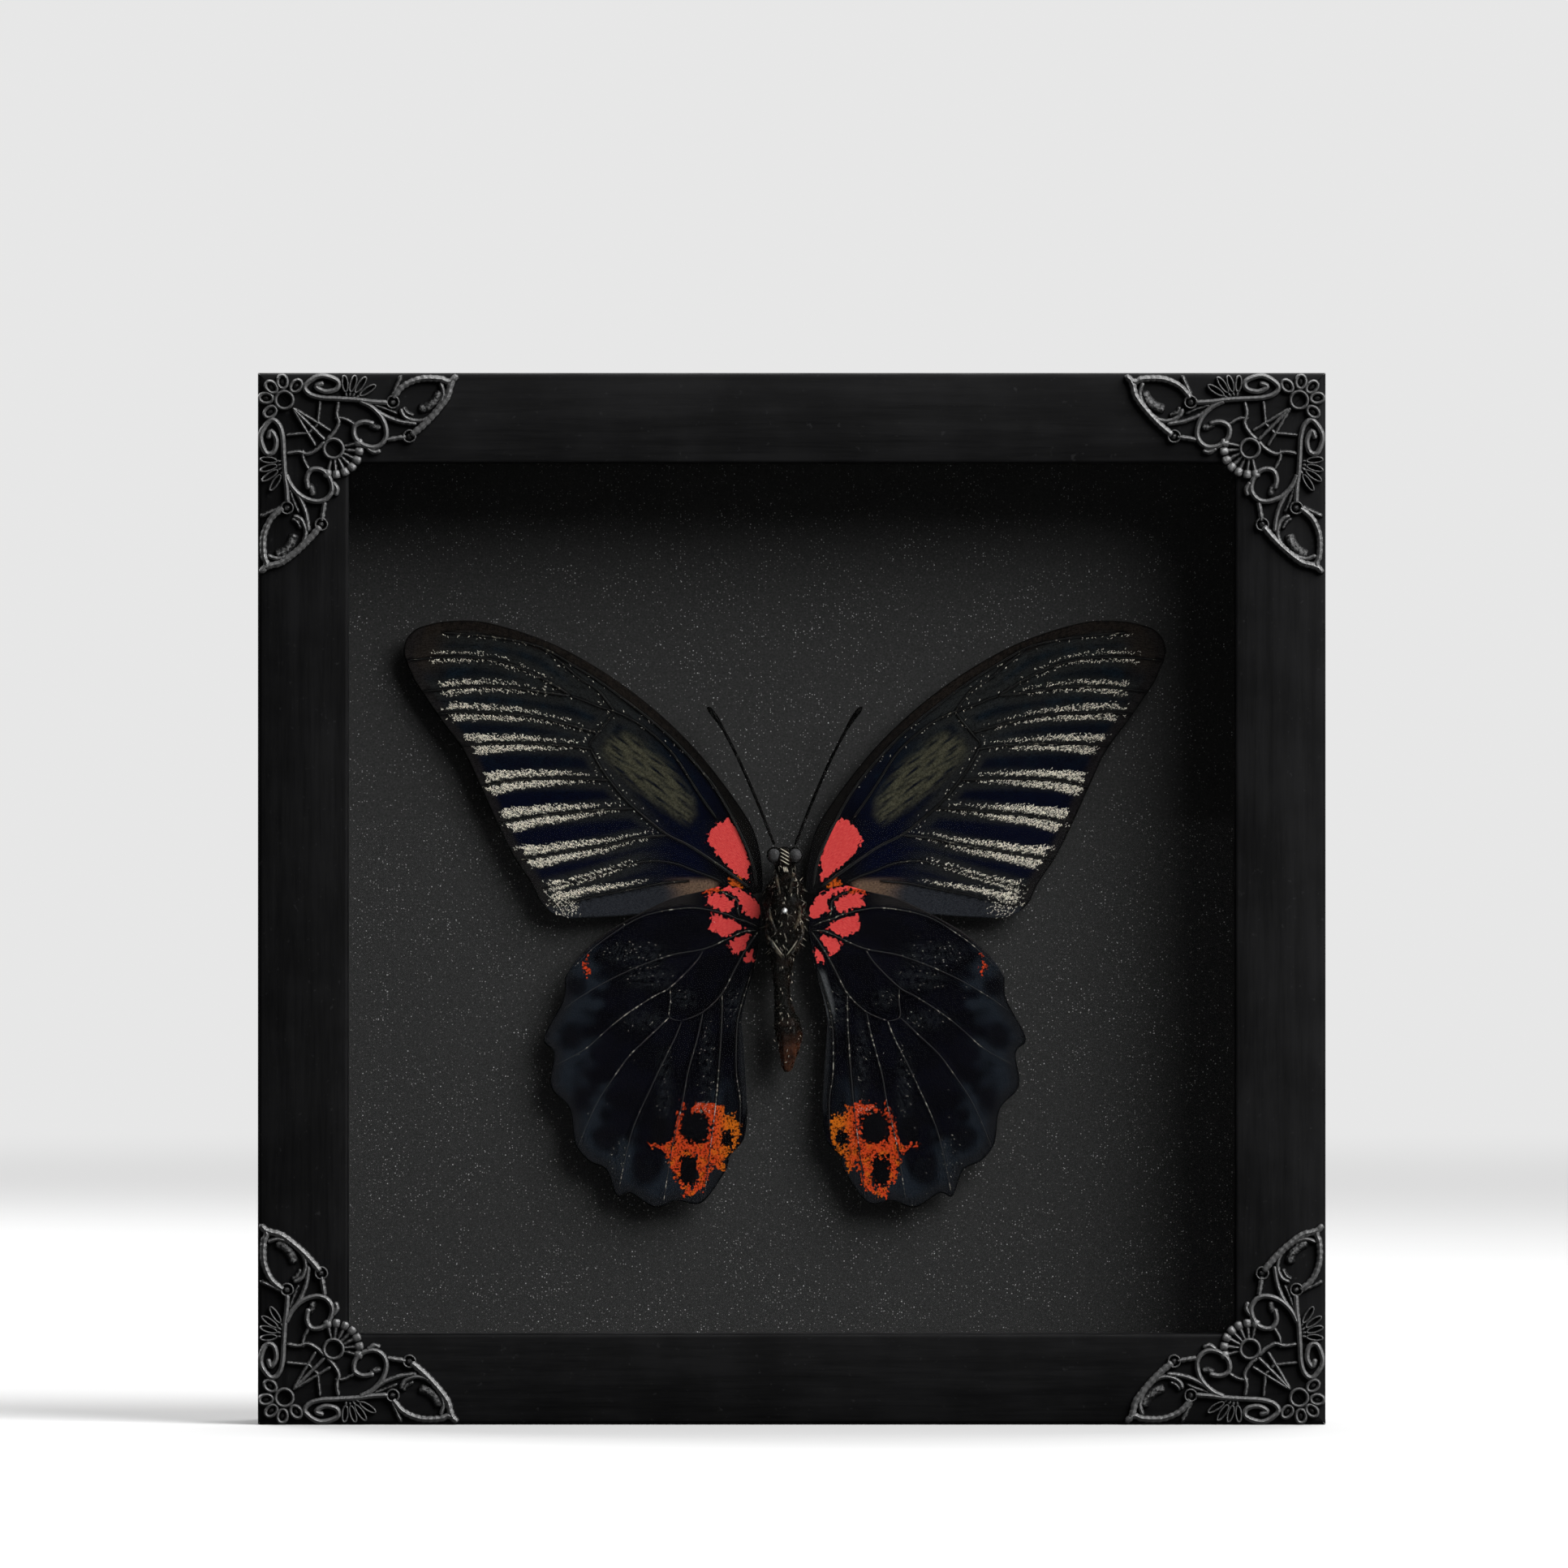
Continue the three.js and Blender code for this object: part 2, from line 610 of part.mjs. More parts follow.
function bodyGeometry() {
  const eye = new THREE.SphereGeometry(EYE.radius, 8, 6);
  const eyes = [-EYE.x, EYE.x].map((x) => eye.clone().translate(x, EYE.y - THORAX_Y, EYE.z));
  const leg = (points) => tube(points, LEG_RADIUS, LEG_SIDES, LEG_STEPS);
  const legs = [...LEGS, ...LEGS.map(mirroredPoints)].map(leg);
  const pinHole = barAlongY(PIN.radius + PIN.clearance, -10, 20, 8).translate(0, 0, PIN.z);
  return toGeometry(joined([trunkGeometry(), ...eyes, ...legs]).subtract(toSolid(pinHole)));
}

/** The pin: a ball head in front of the thorax, a shaft through it and a point in the backing board. */
function pinGeometry() {
  const headY = -THORAX_Y - BODY_DEPTH_RATIO * BODY_STATIONS[6][1] + 1.2;
  const tipY = BACKING_Y - THORAX_Y + PIN.depthInBacking;
  const profile = [[0, -tipY], [PIN.radius, -tipY + 1.5], [PIN.radius, -headY - PIN.headRadius]];
  for (let i = 1; i <= 5; i++) {
    const angle = (Math.PI * i) / 5;
    profile.push([PIN.headRadius * Math.sin(angle), -headY - PIN.headRadius * Math.cos(angle)]);
  }
  profile[profile.length - 1][0] = 0;
  return new THREE.LatheGeometry(toVectors(profile), 8).rotateX(Math.PI).translate(0, 0, PIN.z);
}

function specimen() {
  const group = new THREE.Group();
  group.position.set(SPECIMEN_X, 0, SPECIMEN_Z);
  group.add(wings());

  const trunk = new THREE.Group();
  trunk.position.y = THORAX_Y;
  trunk.add(piece("body", bodyGeometry(), finishes.insectBody));
  const antenna = (points) => tube(points, ANTENNA_RADIUS, 6, ANTENNA_STEPS);
  trunk.add(piece("antenna_right", antenna(ANTENNA), finishes.insectBody));
  trunk.add(piece("antenna_left", antenna(mirroredPoints(ANTENNA)), finishes.insectBody));
  trunk.add(piece("pin", pinGeometry(), finishes.steel));
  group.add(trunk);
  return group;
}

const framedButterfly = new THREE.Group();
framedButterfly.add(frame(), panes(), filigreeCorners(), specimen());

export default framedButterfly;
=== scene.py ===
"""The looks of a framed butterfly specimen: a black shadow box with silver filigree corners.

Sizes are in millimetres until a piece is settled, and metres after that.
"""

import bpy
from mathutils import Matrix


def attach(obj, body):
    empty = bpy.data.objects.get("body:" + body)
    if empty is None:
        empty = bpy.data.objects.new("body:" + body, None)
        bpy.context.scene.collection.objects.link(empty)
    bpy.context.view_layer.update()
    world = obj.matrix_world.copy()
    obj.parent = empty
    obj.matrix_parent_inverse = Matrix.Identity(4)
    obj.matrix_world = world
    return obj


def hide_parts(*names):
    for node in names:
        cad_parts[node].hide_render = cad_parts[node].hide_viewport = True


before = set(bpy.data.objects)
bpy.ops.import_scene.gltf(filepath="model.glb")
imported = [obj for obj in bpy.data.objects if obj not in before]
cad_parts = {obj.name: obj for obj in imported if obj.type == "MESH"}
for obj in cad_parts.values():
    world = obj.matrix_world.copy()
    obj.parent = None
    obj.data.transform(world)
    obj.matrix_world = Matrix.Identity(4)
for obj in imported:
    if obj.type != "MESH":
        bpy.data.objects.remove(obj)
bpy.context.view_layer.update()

import logging
import math
from collections.abc import Callable, Sequence
from dataclasses import dataclass, field
from enum import Enum
from functools import cached_property

import bmesh
import bpy
import numpy as np
from mathutils import Matrix, Vector

LOG = logging.getLogger("framed_butterfly")
MM = 0.001
ROOT = "root"

Line = Sequence[tuple[float, ...]]
Ovals = Sequence[tuple[tuple[float, float], tuple[float, float]]]
Colour = tuple[float, float, float]
Section = Callable[[float], tuple[float, float]]


class Side(Enum):
    """The two halves of the specimen, as seen from the front."""

    LEFT = -1
    RIGHT = 1

    @property
    def word(self) -> str:
        """The side's name as the nodes spell it."""
        return self.name.lower()


class WingKind(Enum):
    """The two wings of each side."""

    FORE = "forewing"
    HIND = "hindwing"


class Grain(Enum):
    """The way that the grain of a rail runs."""

    ACROSS = "across"
    UPRIGHT = "upright"


def linear(red: float, green: float, blue: float) -> tuple[float, float, float, float]:
    """A display colour of 0 to 255 as the linear colour that shaders take.

    Args:
        red: the red share.
        green: the green share.
        blue: the blue share.

    Returns:
        Red, green, blue and an alpha of 1.
    """
    shares = [max(0.0, share) / 255 for share in (red, green, blue)]
    mixed = [s / 12.92 if s <= 0.04045 else ((s + 0.055) / 1.055) ** 2.4 for s in shares]
    return (mixed[0], mixed[1], mixed[2], 1.0)


def tint(*shares: float) -> np.ndarray:
    """A display colour as a linear array of three."""
    return np.array(linear(*shares)[:3])


def eased(low: float, high: float, value: np.ndarray) -> np.ndarray:
    """A smooth step from 0 at low to 1 at high.

    Args:
        low: where the step starts.
        high: where it ends; below low, the step falls.
        value: the numbers to step.

    Returns:
        A share of 0 to 1 for each number.
    """
    share = np.clip((value - low) / (high - low), 0, 1)
    return share * share * (3 - 2 * share)


def smooth_line(points: Line, steps: int = 8) -> np.ndarray:
    """A smooth line through its points.

    Args:
        points: the points, in two or three dimensions.
        steps: the steps between two points.

    Returns:
        The line's points, one a row.
    """
    known = np.asarray(points, float)
    last = len(known) - 1
    spots = np.linspace(0, last, last * steps + 1)
    at = np.minimum(spots.astype(int), last - 1)
    share = (spots - at)[:, None]
    start, end = known[at], known[at + 1]
    leave = (end - known[np.maximum(at - 1, 0)]) / 2
    arrive = (known[np.minimum(at + 2, last)] - start) / 2
    cubic = 2 * start - 2 * end + leave + arrive
    square = -3 * start + 3 * end - 2 * leave - arrive
    return cubic * share**3 + square * share**2 + leave * share + start


def evenly(line: np.ndarray, count: int) -> np.ndarray:
    """A line with its points at equal distances.

    Args:
        line: the line's points.
        count: how many points it gets.

    Returns:
        The new points, one a row.
    """
    lengths = np.linalg.norm(np.diff(line, axis=0), axis=1)
    along = np.concatenate([[0], np.cumsum(lengths)])
    spots = np.linspace(0, along[-1], count)
    return np.column_stack([np.interp(spots, along, axis) for axis in line.T])


def joined_lines(*lines: np.ndarray) -> np.ndarray:
    """Lines that follow each other, without the points that they share."""
    return np.vstack([lines[0], *(line[1:] for line in lines[1:])])


def length_of(line: np.ndarray) -> float:
    """The length of a line."""
    return float(np.linalg.norm(np.diff(line, axis=0), axis=1).sum())


def distance_to(points: np.ndarray, line: np.ndarray) -> np.ndarray:
    """How far each point is from a line.

    Args:
        points: the points, one a row.
        line: the line's points.

    Returns:
        A distance for each point.
    """
    best = np.full(len(points), np.inf)
    for start, end in zip(line[:-1], line[1:]):
        way = end - start
        share = np.clip((points - start) @ way / max(way @ way, 1e-9), 0, 1)
        gap = points - start - share[:, None] * way
        best = np.minimum(best, np.einsum("ij,ij->i", gap, gap))
    return np.sqrt(best)


def depth_inside(points: np.ndarray, outline: Line) -> np.ndarray:
    """How deep each point lies inside a closed outline, negative outside it.

    Args:
        points: the points, one a row.
        outline: the corners of the outline.

    Returns:
        A signed distance for each point.
    """
    corners = np.asarray(outline, float)
    closed = np.vstack([corners, corners[:1]])
    inside = np.zeros(len(points), bool)
    for (ax, ay), (bx, by) in zip(closed[:-1], closed[1:]):
        if ay == by:
            continue
        spans = (ay > points[:, 1]) != (by > points[:, 1])
        inside ^= spans & (points[:, 0] < (bx - ax) * (points[:, 1] - ay) / (by - ay) + ax)
    return np.where(inside, 1, -1) * distance_to(points, closed)


def depth_in_oval(points: np.ndarray, centre: tuple[float, float], half: tuple[float, float]) -> np.ndarray:
    """How deep each point lies inside an oval, negative outside it.

    Args:
        points: the points, one a row.
        centre: the oval's centre.
        half: its half width and half height.

    Returns:
        About the signed distance for each point.
    """
    shares = np.abs((points - np.array(centre)) / np.array(half))
    away = (shares**3).sum(axis=1) ** (1 / 3)
    return (1 - away) * min(half)


def side_of(points: np.ndarray, line: np.ndarray) -> np.ndarray:
    """How far each point is above a line that runs outwards, by its height there."""
    order = np.argsort(line[:, 0])
    return points[:, 1] - np.interp(points[:, 0], line[order, 0], line[order, 1])


def full_round(turn: float) -> tuple[float, float]:
    """A round section."""
    return math.cos(turn), math.sin(turn)


def half_round(height: float) -> Section:
    """A section that is flat behind and round in front.

    Args:
        height: its height as a share of half its width.

    Returns:
        The section.
    """

    def section(turn: float) -> tuple[float, float]:
        """The flat back and the round front."""
        return math.cos(turn), height * max(math.sin(turn), 0.0)

    return section


def sweep(
    bm: bmesh.types.BMesh,
    line: np.ndarray,
    radii: np.ndarray,
    sides: int = 8,
    up: tuple[float, float, float] = (0, -1, 0),
    section: Section = full_round,
    closed: bool = False,
) -> list[bmesh.types.BMVert]:
    """Wraps a grid round a line as a tube, closed at both ends or all the way round.

    Args:
        bm: the mesh that takes it.
        line: the tube's middle, in three dimensions.
        radii: its radius at each point; 0 at the ends of an open tube.
        sides: the faces round it.
        up: the way that the section's height points.
        section: the section at a turn, as shares across and up.
        closed: the line comes back to its start.

    Returns:
        The tube's vertices.
    """
    count = len(line)
    ahead = np.gradient(line, axis=0)
    if closed:
        ahead[0] = ahead[-1] = line[1] - line[-2]
    ahead /= np.maximum(np.linalg.norm(ahead, axis=1, keepdims=True), 1e-9)
    lift = np.array(up, float) - (ahead @ np.array(up, float))[:, None] * ahead
    lift /= np.maximum(np.linalg.norm(lift, axis=1, keepdims=True), 1e-9)
    across = np.cross(ahead, lift)
    wrap = bmesh.ops.create_grid(bm, x_segments=count - 1, y_segments=sides, size=1.0)["verts"]
    for vert in wrap:
        ring = round((vert.co.x + 1) / 2 * (count - 1))
        out, rise = section((vert.co.y + 1) * math.pi)
        vert.co = line[ring] + radii[ring] * (out * across[ring] + rise * lift[ring])
    bmesh.ops.remove_doubles(bm, verts=wrap, dist=1e-4)
    return [vert for vert in wrap if vert.is_valid]


def round_ends(count: int, width: float, cap: float = 2.0) -> np.ndarray:
    """Radii of a tube with round ends.

    Args:
        count: the tube's points.
        width: its full width.
        cap: how many points each round end takes.

    Returns:
        A radius for each point.
    """
    near = np.minimum(np.arange(count), np.arange(count)[::-1]) / cap
    return width / 2 * np.sqrt(np.clip(1 - (1 - np.clip(near, 0, 1)) ** 2, 0, 1))


def copies_of(template: bmesh.types.BMesh, count: int) -> bpy.types.Mesh:
    """A mesh of many copies of a small shape, one after the other.

    Args:
        template: the small shape; it is used up.
        count: how many copies there are.

    Returns:
        The mesh, with all copies in one place.
    """
    bm = template.copy()
    template.free()
    verts, edges, faces = len(bm.verts), len(bm.edges), len(bm.faces)
    have = 1
    while have < count:
        more = min(have, count - have)
        for table in (bm.verts, bm.edges, bm.faces):
            table.ensure_lookup_table()
        geom = [*bm.verts[: more * verts], *bm.edges[: more * edges], *bm.faces[: more * faces]]
        bmesh.ops.duplicate(bm, geom=geom)
        have += more
    mesh = bpy.data.meshes.new("copies")
    bm.to_mesh(mesh)
    bm.free()
    return mesh


def spread_copies(mesh: bpy.types.Mesh, places: np.ndarray, axes: np.ndarray, tones: np.ndarray) -> None:
    """Sets each copy in its place and gives it its tone.

    Args:
        mesh: the copies, one after the other.
        places: where each copy goes, in millimetres.
        axes: the three axes of each copy, scaled, as rows of a 3 by 3 table.
        tones: the linear colour of each copy.
    """
    count = len(places)
    flat = np.empty(len(mesh.vertices) * 3)
    mesh.vertices.foreach_get("co", flat)
    local = flat.reshape(count, -1, 3)
    placed = np.einsum("nvk,nkc->nvc", local, axes) + places[:, None, :]
    mesh.vertices.foreach_set("co", placed.reshape(-1))
    each = np.repeat(np.column_stack([tones, np.ones(count)]), local.shape[1], axis=0)
    set_colours(mesh, "tone", each)
    mesh.update()


def set_values(mesh: bpy.types.Mesh, name: str, values: np.ndarray) -> None:
    """Stores a number at each vertex."""
    layer = mesh.attributes.new(name, "FLOAT", "POINT")
    layer.data.foreach_set("value", np.asarray(values, np.float32).reshape(-1))


def set_colours(mesh: bpy.types.Mesh, name: str, colours: np.ndarray) -> None:
    """Stores a linear colour at each vertex."""
    layer = mesh.attributes.new(name, "FLOAT_COLOR", "POINT")
    layer.data.foreach_set("color", np.asarray(colours, np.float32).reshape(-1))


def settle_mesh(
    mesh: bpy.types.Mesh,
    name: str,
    finish: bpy.types.Material,
    node: str | None = None,
    crease: float = 40.0,
) -> bpy.types.Object:
    """Turns a mesh in millimetres into a finished piece in its place.

    Args:
        mesh: the mesh.
        name: the piece's name.
        finish: its material.
        node: the solid that the piece stands for, if it stands for one.
        crease: edges sharper than this many degrees stay sharp.

    Returns:
        The piece.
    """
    mesh.name = name
    mesh.transform(Matrix.Scale(MM, 4))
    mesh.materials.append(finish)
    mesh.shade_smooth()
    mesh.set_sharp_from_angle(angle=math.radians(crease))
    piece = bpy.data.objects.new(name, mesh)
    bpy.context.scene.collection.objects.link(piece)
    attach(piece, ROOT)
    if node:
        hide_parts(node)
    LOG.info("%s: %d faces", name, len(mesh.polygons))
    return piece


def settle(
    bm: bmesh.types.BMesh,
    name: str,
    finish: bpy.types.Material,
    node: str | None = None,
    crease: float = 40.0,
) -> bpy.types.Object:
    """Turns a bmesh in millimetres into a finished piece; the arguments are as for settle_mesh."""
    bmesh.ops.recalc_face_normals(bm, faces=bm.faces)
    mesh = bpy.data.meshes.new(name)
    bm.to_mesh(mesh)
    bm.free()
    return settle_mesh(mesh, name, finish, node, crease)


class NodeSheet:
    """A node tree, with short calls that add nodes and join them."""

    def __init__(self, tree: bpy.types.NodeTree) -> None:
        """Keeps the tree."""
        self.tree = tree

    def add(self, kind: str, inputs: dict | None = None, **settings: object) -> bpy.types.Node:
        """Adds a node.

        Args:
            kind: the node's type.
            inputs: a value or a socket for each input.
            settings: properties of the node.

        Returns:
            The node.
        """
        node = self.tree.nodes.new(kind)
        for key, value in settings.items():
            setattr(node, key, value)
        for key, value in (inputs or {}).items():
            if isinstance(value, bpy.types.NodeSocket):
                self.tree.links.new(value, node.inputs[key])
            else:
                node.inputs[key].default_value = value
        return node

    def object_place(self) -> bpy.types.NodeSocket:
        """The point in the object's own space."""
        return self.add("ShaderNodeTexCoord").outputs["Object"]

    def own_uv(self, name: str) -> bpy.types.NodeSocket:
        """The piece's own surface map."""
        return self.add("ShaderNodeUVMap", uv_map=name).outputs["UV"]

    def stored(self, name: str, output: str = "Fac") -> bpy.types.NodeSocket:
        """A number or a colour stored on the mesh."""
        return self.add("ShaderNodeAttribute", attribute_name=name).outputs[output]

    def stretched(self, place: bpy.types.NodeSocket, scale: Colour) -> bpy.types.NodeSocket:
        """A place scaled along each axis."""
        return self.add("ShaderNodeMapping", {"Vector": place, "Scale": scale}).outputs["Vector"]

    def noise(
        self, place: bpy.types.NodeSocket, scale: float, detail: float = 3.0, rough: float = 0.55
    ) -> bpy.types.NodeSocket:
        """Cloudy noise of about 0 to 1."""
        inputs = {"Vector": place, "Scale": scale, "Detail": detail, "Roughness": rough}
        return self.add("ShaderNodeTexNoise", inputs).outputs["Fac"]

    def stepped(
        self, value: bpy.types.NodeSocket, low: float, high: float, start: float = 0.0, end: float = 1.0
    ) -> bpy.types.NodeSocket:
        """A value that goes smoothly from start at low to end at high."""
        inputs = {"Value": value, "From Min": low, "From Max": high, "To Min": start, "To Max": end}
        return self.add("ShaderNodeMapRange", inputs, interpolation_type="SMOOTHSTEP").outputs["Result"]

    def maths(self, operation: str, first: object, second: object = 0.0) -> bpy.types.NodeSocket:
        """A sum of two values."""
        return self.add("ShaderNodeMath", {0: first, 1: second}, operation=operation).outputs[0]

    def mixed(self, share: object, low: object, high: object) -> bpy.types.NodeSocket:
        """A colour between two colours."""
        return self.add("ShaderNodeMix", {0: share, 6: low, 7: high}, data_type="RGBA").outputs[2]

    def bump(self, height: bpy.types.NodeSocket, strength: float, depth: float) -> bpy.types.NodeSocket:
        """A normal from a height in millimetres."""
        inputs = {"Height": height, "Strength": strength, "Distance": depth * MM}
        return self.add("ShaderNodeBump", inputs).outputs["Normal"]

    def group(self, tree: bpy.types.NodeTree, inputs: dict) -> bpy.types.Node:
        """Places a shared effect."""
        return self.add("ShaderNodeGroup", inputs, node_tree=tree)


class SharedEffects:
    """The effects that several finishes use, each built once as a node group."""

    @staticmethod
    def start(
        name: str, inputs: dict[str, str], outputs: Sequence[str]
    ) -> tuple[NodeSheet, bpy.types.Node, bpy.types.Node]:
        """Starts a group.

        Args:
            name: the group's name.
            inputs: the socket type of each input.
            outputs: the values that it gives.

        Returns:
            The group's sheet, its input node and its output node.
        """
        tree = bpy.data.node_groups.new(name, "ShaderNodeTree")
        for word, kind in inputs.items():
            tree.interface.new_socket(word, in_out="INPUT", socket_type=kind)
        for word in outputs:
            tree.interface.new_socket(word, in_out="OUTPUT", socket_type="NodeSocketFloat")
        sheet = NodeSheet(tree)
        return sheet, sheet.add("NodeGroupInput"), sheet.add("NodeGroupOutput")

    @cached_property
    def specks(self) -> bpy.types.NodeTree:
        """Bright specks scattered over a surface, of uneven strength.

        Returns:
            The node group.
        """
        kinds = {"Place": "NodeSocketVector", "Scale": "NodeSocketFloat", "Size": "NodeSocketFloat"}
        sheet, given, result = self.start("specks", kinds, ["Mask"])
        cells = sheet.add(
            "ShaderNodeTexVoronoi",
            {"Vector": given.outputs["Place"], "Scale": given.outputs["Scale"]},
        )
        near = sheet.maths("DIVIDE", cells.outputs["Distance"], given.outputs["Size"])
        dot = sheet.stepped(near, 1.0, 0.4)
        luck = sheet.add("ShaderNodeSeparateColor", {"Color": cells.outputs["Color"]}).outputs["Red"]
        chosen = sheet.stepped(luck, 0.45, 1.0)
        sheet.tree.links.new(sheet.maths("MULTIPLY", dot, chosen), result.inputs["Mask"])
        return sheet.tree

    @cached_property
    def grain(self) -> bpy.types.NodeTree:
        """Long streaks and fine tooth, for wood, board and brushed metal.

        Returns:
            The node group.
        """
        kinds = {"Place": "NodeSocketVector", "Scale": "NodeSocketFloat"}
        sheet, given, result = self.start("grain", kinds, ["Streak", "Tooth"])
        streak = sheet.add(
            "ShaderNodeTexNoise",
            {"Vector": given.outputs["Place"], "Scale": given.outputs["Scale"], "Detail": 5.0, "Roughness": 0.6},
        )
        finer = sheet.maths("MULTIPLY", given.outputs["Scale"], 5.0)
        tooth = sheet.add(
            "ShaderNodeTexNoise", {"Vector": given.outputs["Place"], "Scale": finer, "Detail": 2.0}
        )
        sheet.tree.links.new(streak.outputs["Fac"], result.inputs["Streak"])
        sheet.tree.links.new(tooth.outputs["Fac"], result.inputs["Tooth"])
        return sheet.tree

    @cached_property
    def ragged(self) -> bpy.types.NodeTree:
        """The mask of a marking with a ragged edge, from its depth in millimetres.

        Returns:
            The node group.
        """
        kinds = {"Depth": "NodeSocketFloat", "Place": "NodeSocketVector", "Scale": "NodeSocketFloat"}
        kinds |= {"Reach": "NodeSocketFloat"}
        sheet, given, result = self.start("ragged_edge", kinds, ["Mask"])
        teeth = sheet.add(
            "ShaderNodeTexNoise",
            {"Vector": given.outputs["Place"], "Scale": given.outputs["Scale"], "Detail": 3.0},
        )
        swing = sheet.maths("MULTIPLY", sheet.maths("SUBTRACT", teeth.outputs["Fac"], 0.5), given.outputs["Reach"])
        edge = sheet.maths("ADD", given.outputs["Depth"], swing)
        sheet.tree.links.new(sheet.stepped(edge, -0.09, 0.09), result.inputs["Mask"])
        return sheet.tree


EFFECTS = SharedEffects()


def start_material(name: str, **values: object) -> tuple[bpy.types.Material, NodeSheet, bpy.types.Node]:
    """Starts a material.

    Args:
        name: the material's name.
        values: plain values of its shader, with underscores for spaces.

    Returns:
        The material, its sheet and its shader.
    """
    material = bpy.data.materials.new(name)
    material.use_nodes = True
    sheet = NodeSheet(material.node_tree)
    shader = material.node_tree.nodes["Principled BSDF"]
    for key, value in values.items():
        words = key.replace("_", " ").title().replace("Ior", "IOR")
        shader.inputs[words].default_value = value
    return material, sheet, shader


@dataclass(frozen=True)
class BlackWood:
    """Satin black paint over straight-grained wood."""

    grain: Grain
    dark: Colour = (9, 9, 10)
    pale: Colour = (23, 23, 24)

    def material(self) -> bpy.types.Material:
        """Makes the finish.

        Returns:
            The finish as a material.
        """
        material, sheet, shader = start_material(f"black_wood_{self.grain.value}", Specular_Ior_Level=0.12)
        along = (14.0, 240.0, 240.0) if self.grain is Grain.ACROSS else (240.0, 240.0, 14.0)
        place = sheet.object_place()
        wood = sheet.group(EFFECTS.grain, {"Place": sheet.stretched(place, along), "Scale": 1.6})
        cloud = sheet.noise(place, 60.0, 4.0)
        share = sheet.maths("MULTIPLY", wood.outputs["Streak"], sheet.stepped(cloud, 0.2, 0.8, 0.4, 1.3))
        base = sheet.mixed(sheet.stepped(share, 0.2, 0.75), linear(*self.dark), linear(*self.pale))
        rubbed = sheet.stepped(sheet.noise(place, 900.0, 2.0), 0.66, 0.8, 0.0, 0.35)
        links = sheet.tree.links
        links.new(sheet.mixed(rubbed, base, linear(52, 52, 53)), shader.inputs["Base Color"])
        links.new(sheet.stepped(wood.outputs["Tooth"], 0.3, 0.7, 0.5, 0.7), shader.inputs["Roughness"])
        links.new(sheet.bump(wood.outputs["Streak"], 0.25, 0.25), shader.inputs["Normal"])
        return material


@dataclass(frozen=True)
class AntiqueSilver:
    """Cast silver, bright on its ridges and black in its hollows."""

    front: float = -16.0
    rise: float = 1.4
    ridge: Colour = (126, 126, 126)
    hollow: Colour = (12, 12, 13)

    def material(self) -> bpy.types.Material:
        """Makes the finish.

        Returns:
            The finish as a material.
        """
        material, sheet, shader = start_material("antique_silver")
        place = sheet.object_place()
        depth = sheet.add("ShaderNodeSeparateXYZ", {"Vector": place}).outputs["Y"]
        height = sheet.stepped(depth, (self.front - 0.4) * MM, (self.front - self.rise * 0.86) * MM)
        cloud = sheet.noise(place, 2300.0, 3.0)
        worn = sheet.maths("ADD", height, sheet.stepped(cloud, 0.3, 0.7, -0.32, 0.22))
        shine = sheet.stepped(worn, 0.15, 0.85)
        base = sheet.mixed(shine, linear(*self.hollow), linear(*self.ridge))
        links = sheet.tree.links
        links.new(base, shader.inputs["Base Color"])
        links.new(sheet.stepped(shine, 0.0, 1.0, 0.15, 0.55), shader.inputs["Metallic"])
        links.new(sheet.stepped(cloud, 0.3, 0.7, 0.4, 0.6), shader.inputs["Roughness"])
        links.new(sheet.bump(sheet.noise(place, 1300.0, 4.0), 0.85, 0.3), shader.inputs["Normal"])
        return material


@dataclass(frozen=True)
class DullSteel:
    """Bare steel with fine scratches and a little tarnish."""

    name: str = "dull_steel"
    light: Colour = (168, 168, 166)
    dull: Colour = (92, 90, 86)

    def material(self) -> bpy.types.Material:
        """Makes the finish.

        Returns:
            The finish as a material.
        """
        material, sheet, shader = start_material(self.name, Metallic=1.0)
        place = sheet.object_place()
        drawn = sheet.group(
            EFFECTS.grain, {"Place": sheet.stretched(place, (60.0, 900.0, 900.0)), "Scale": 1.0}
        )
        tarnish = sheet.stepped(sheet.noise(place, 220.0, 5.0), 0.35, 0.7)
        links = sheet.tree.links
        links.new(sheet.mixed(tarnish, linear(*self.light), linear(*self.dull)), shader.inputs["Base Color"])
        links.new(sheet.stepped(drawn.outputs["Streak"], 0.3, 0.7, 0.26, 0.5), shader.inputs["Roughness"])
        links.new(sheet.bump(drawn.outputs["Tooth"], 0.2, 0.05), shader.inputs["Normal"])
        return material


@dataclass(frozen=True)
class ClearGlass:
    """Thin picture glass that throws back little light, with a trace of dust."""

    ior: float = 1.1

    def material(self) -> bpy.types.Material:
        """Makes the finish.

        Returns:
            The finish as a material.
        """
        material, sheet, shader = start_material("clear_glass", Transmission_Weight=1.0, Ior=self.ior)
        dust = sheet.group(
            EFFECTS.specks, {"Place": sheet.object_place(), "Scale": 160.0, "Size": 0.05}
        ).outputs["Mask"]
        links = sheet.tree.links
        links.new(sheet.mixed(dust, linear(253, 254, 253), linear(244, 245, 244)), shader.inputs["Base Color"])
        links.new(sheet.stepped(dust, 0.0, 1.0, 0.0, 0.12), shader.inputs["Roughness"])
        return material


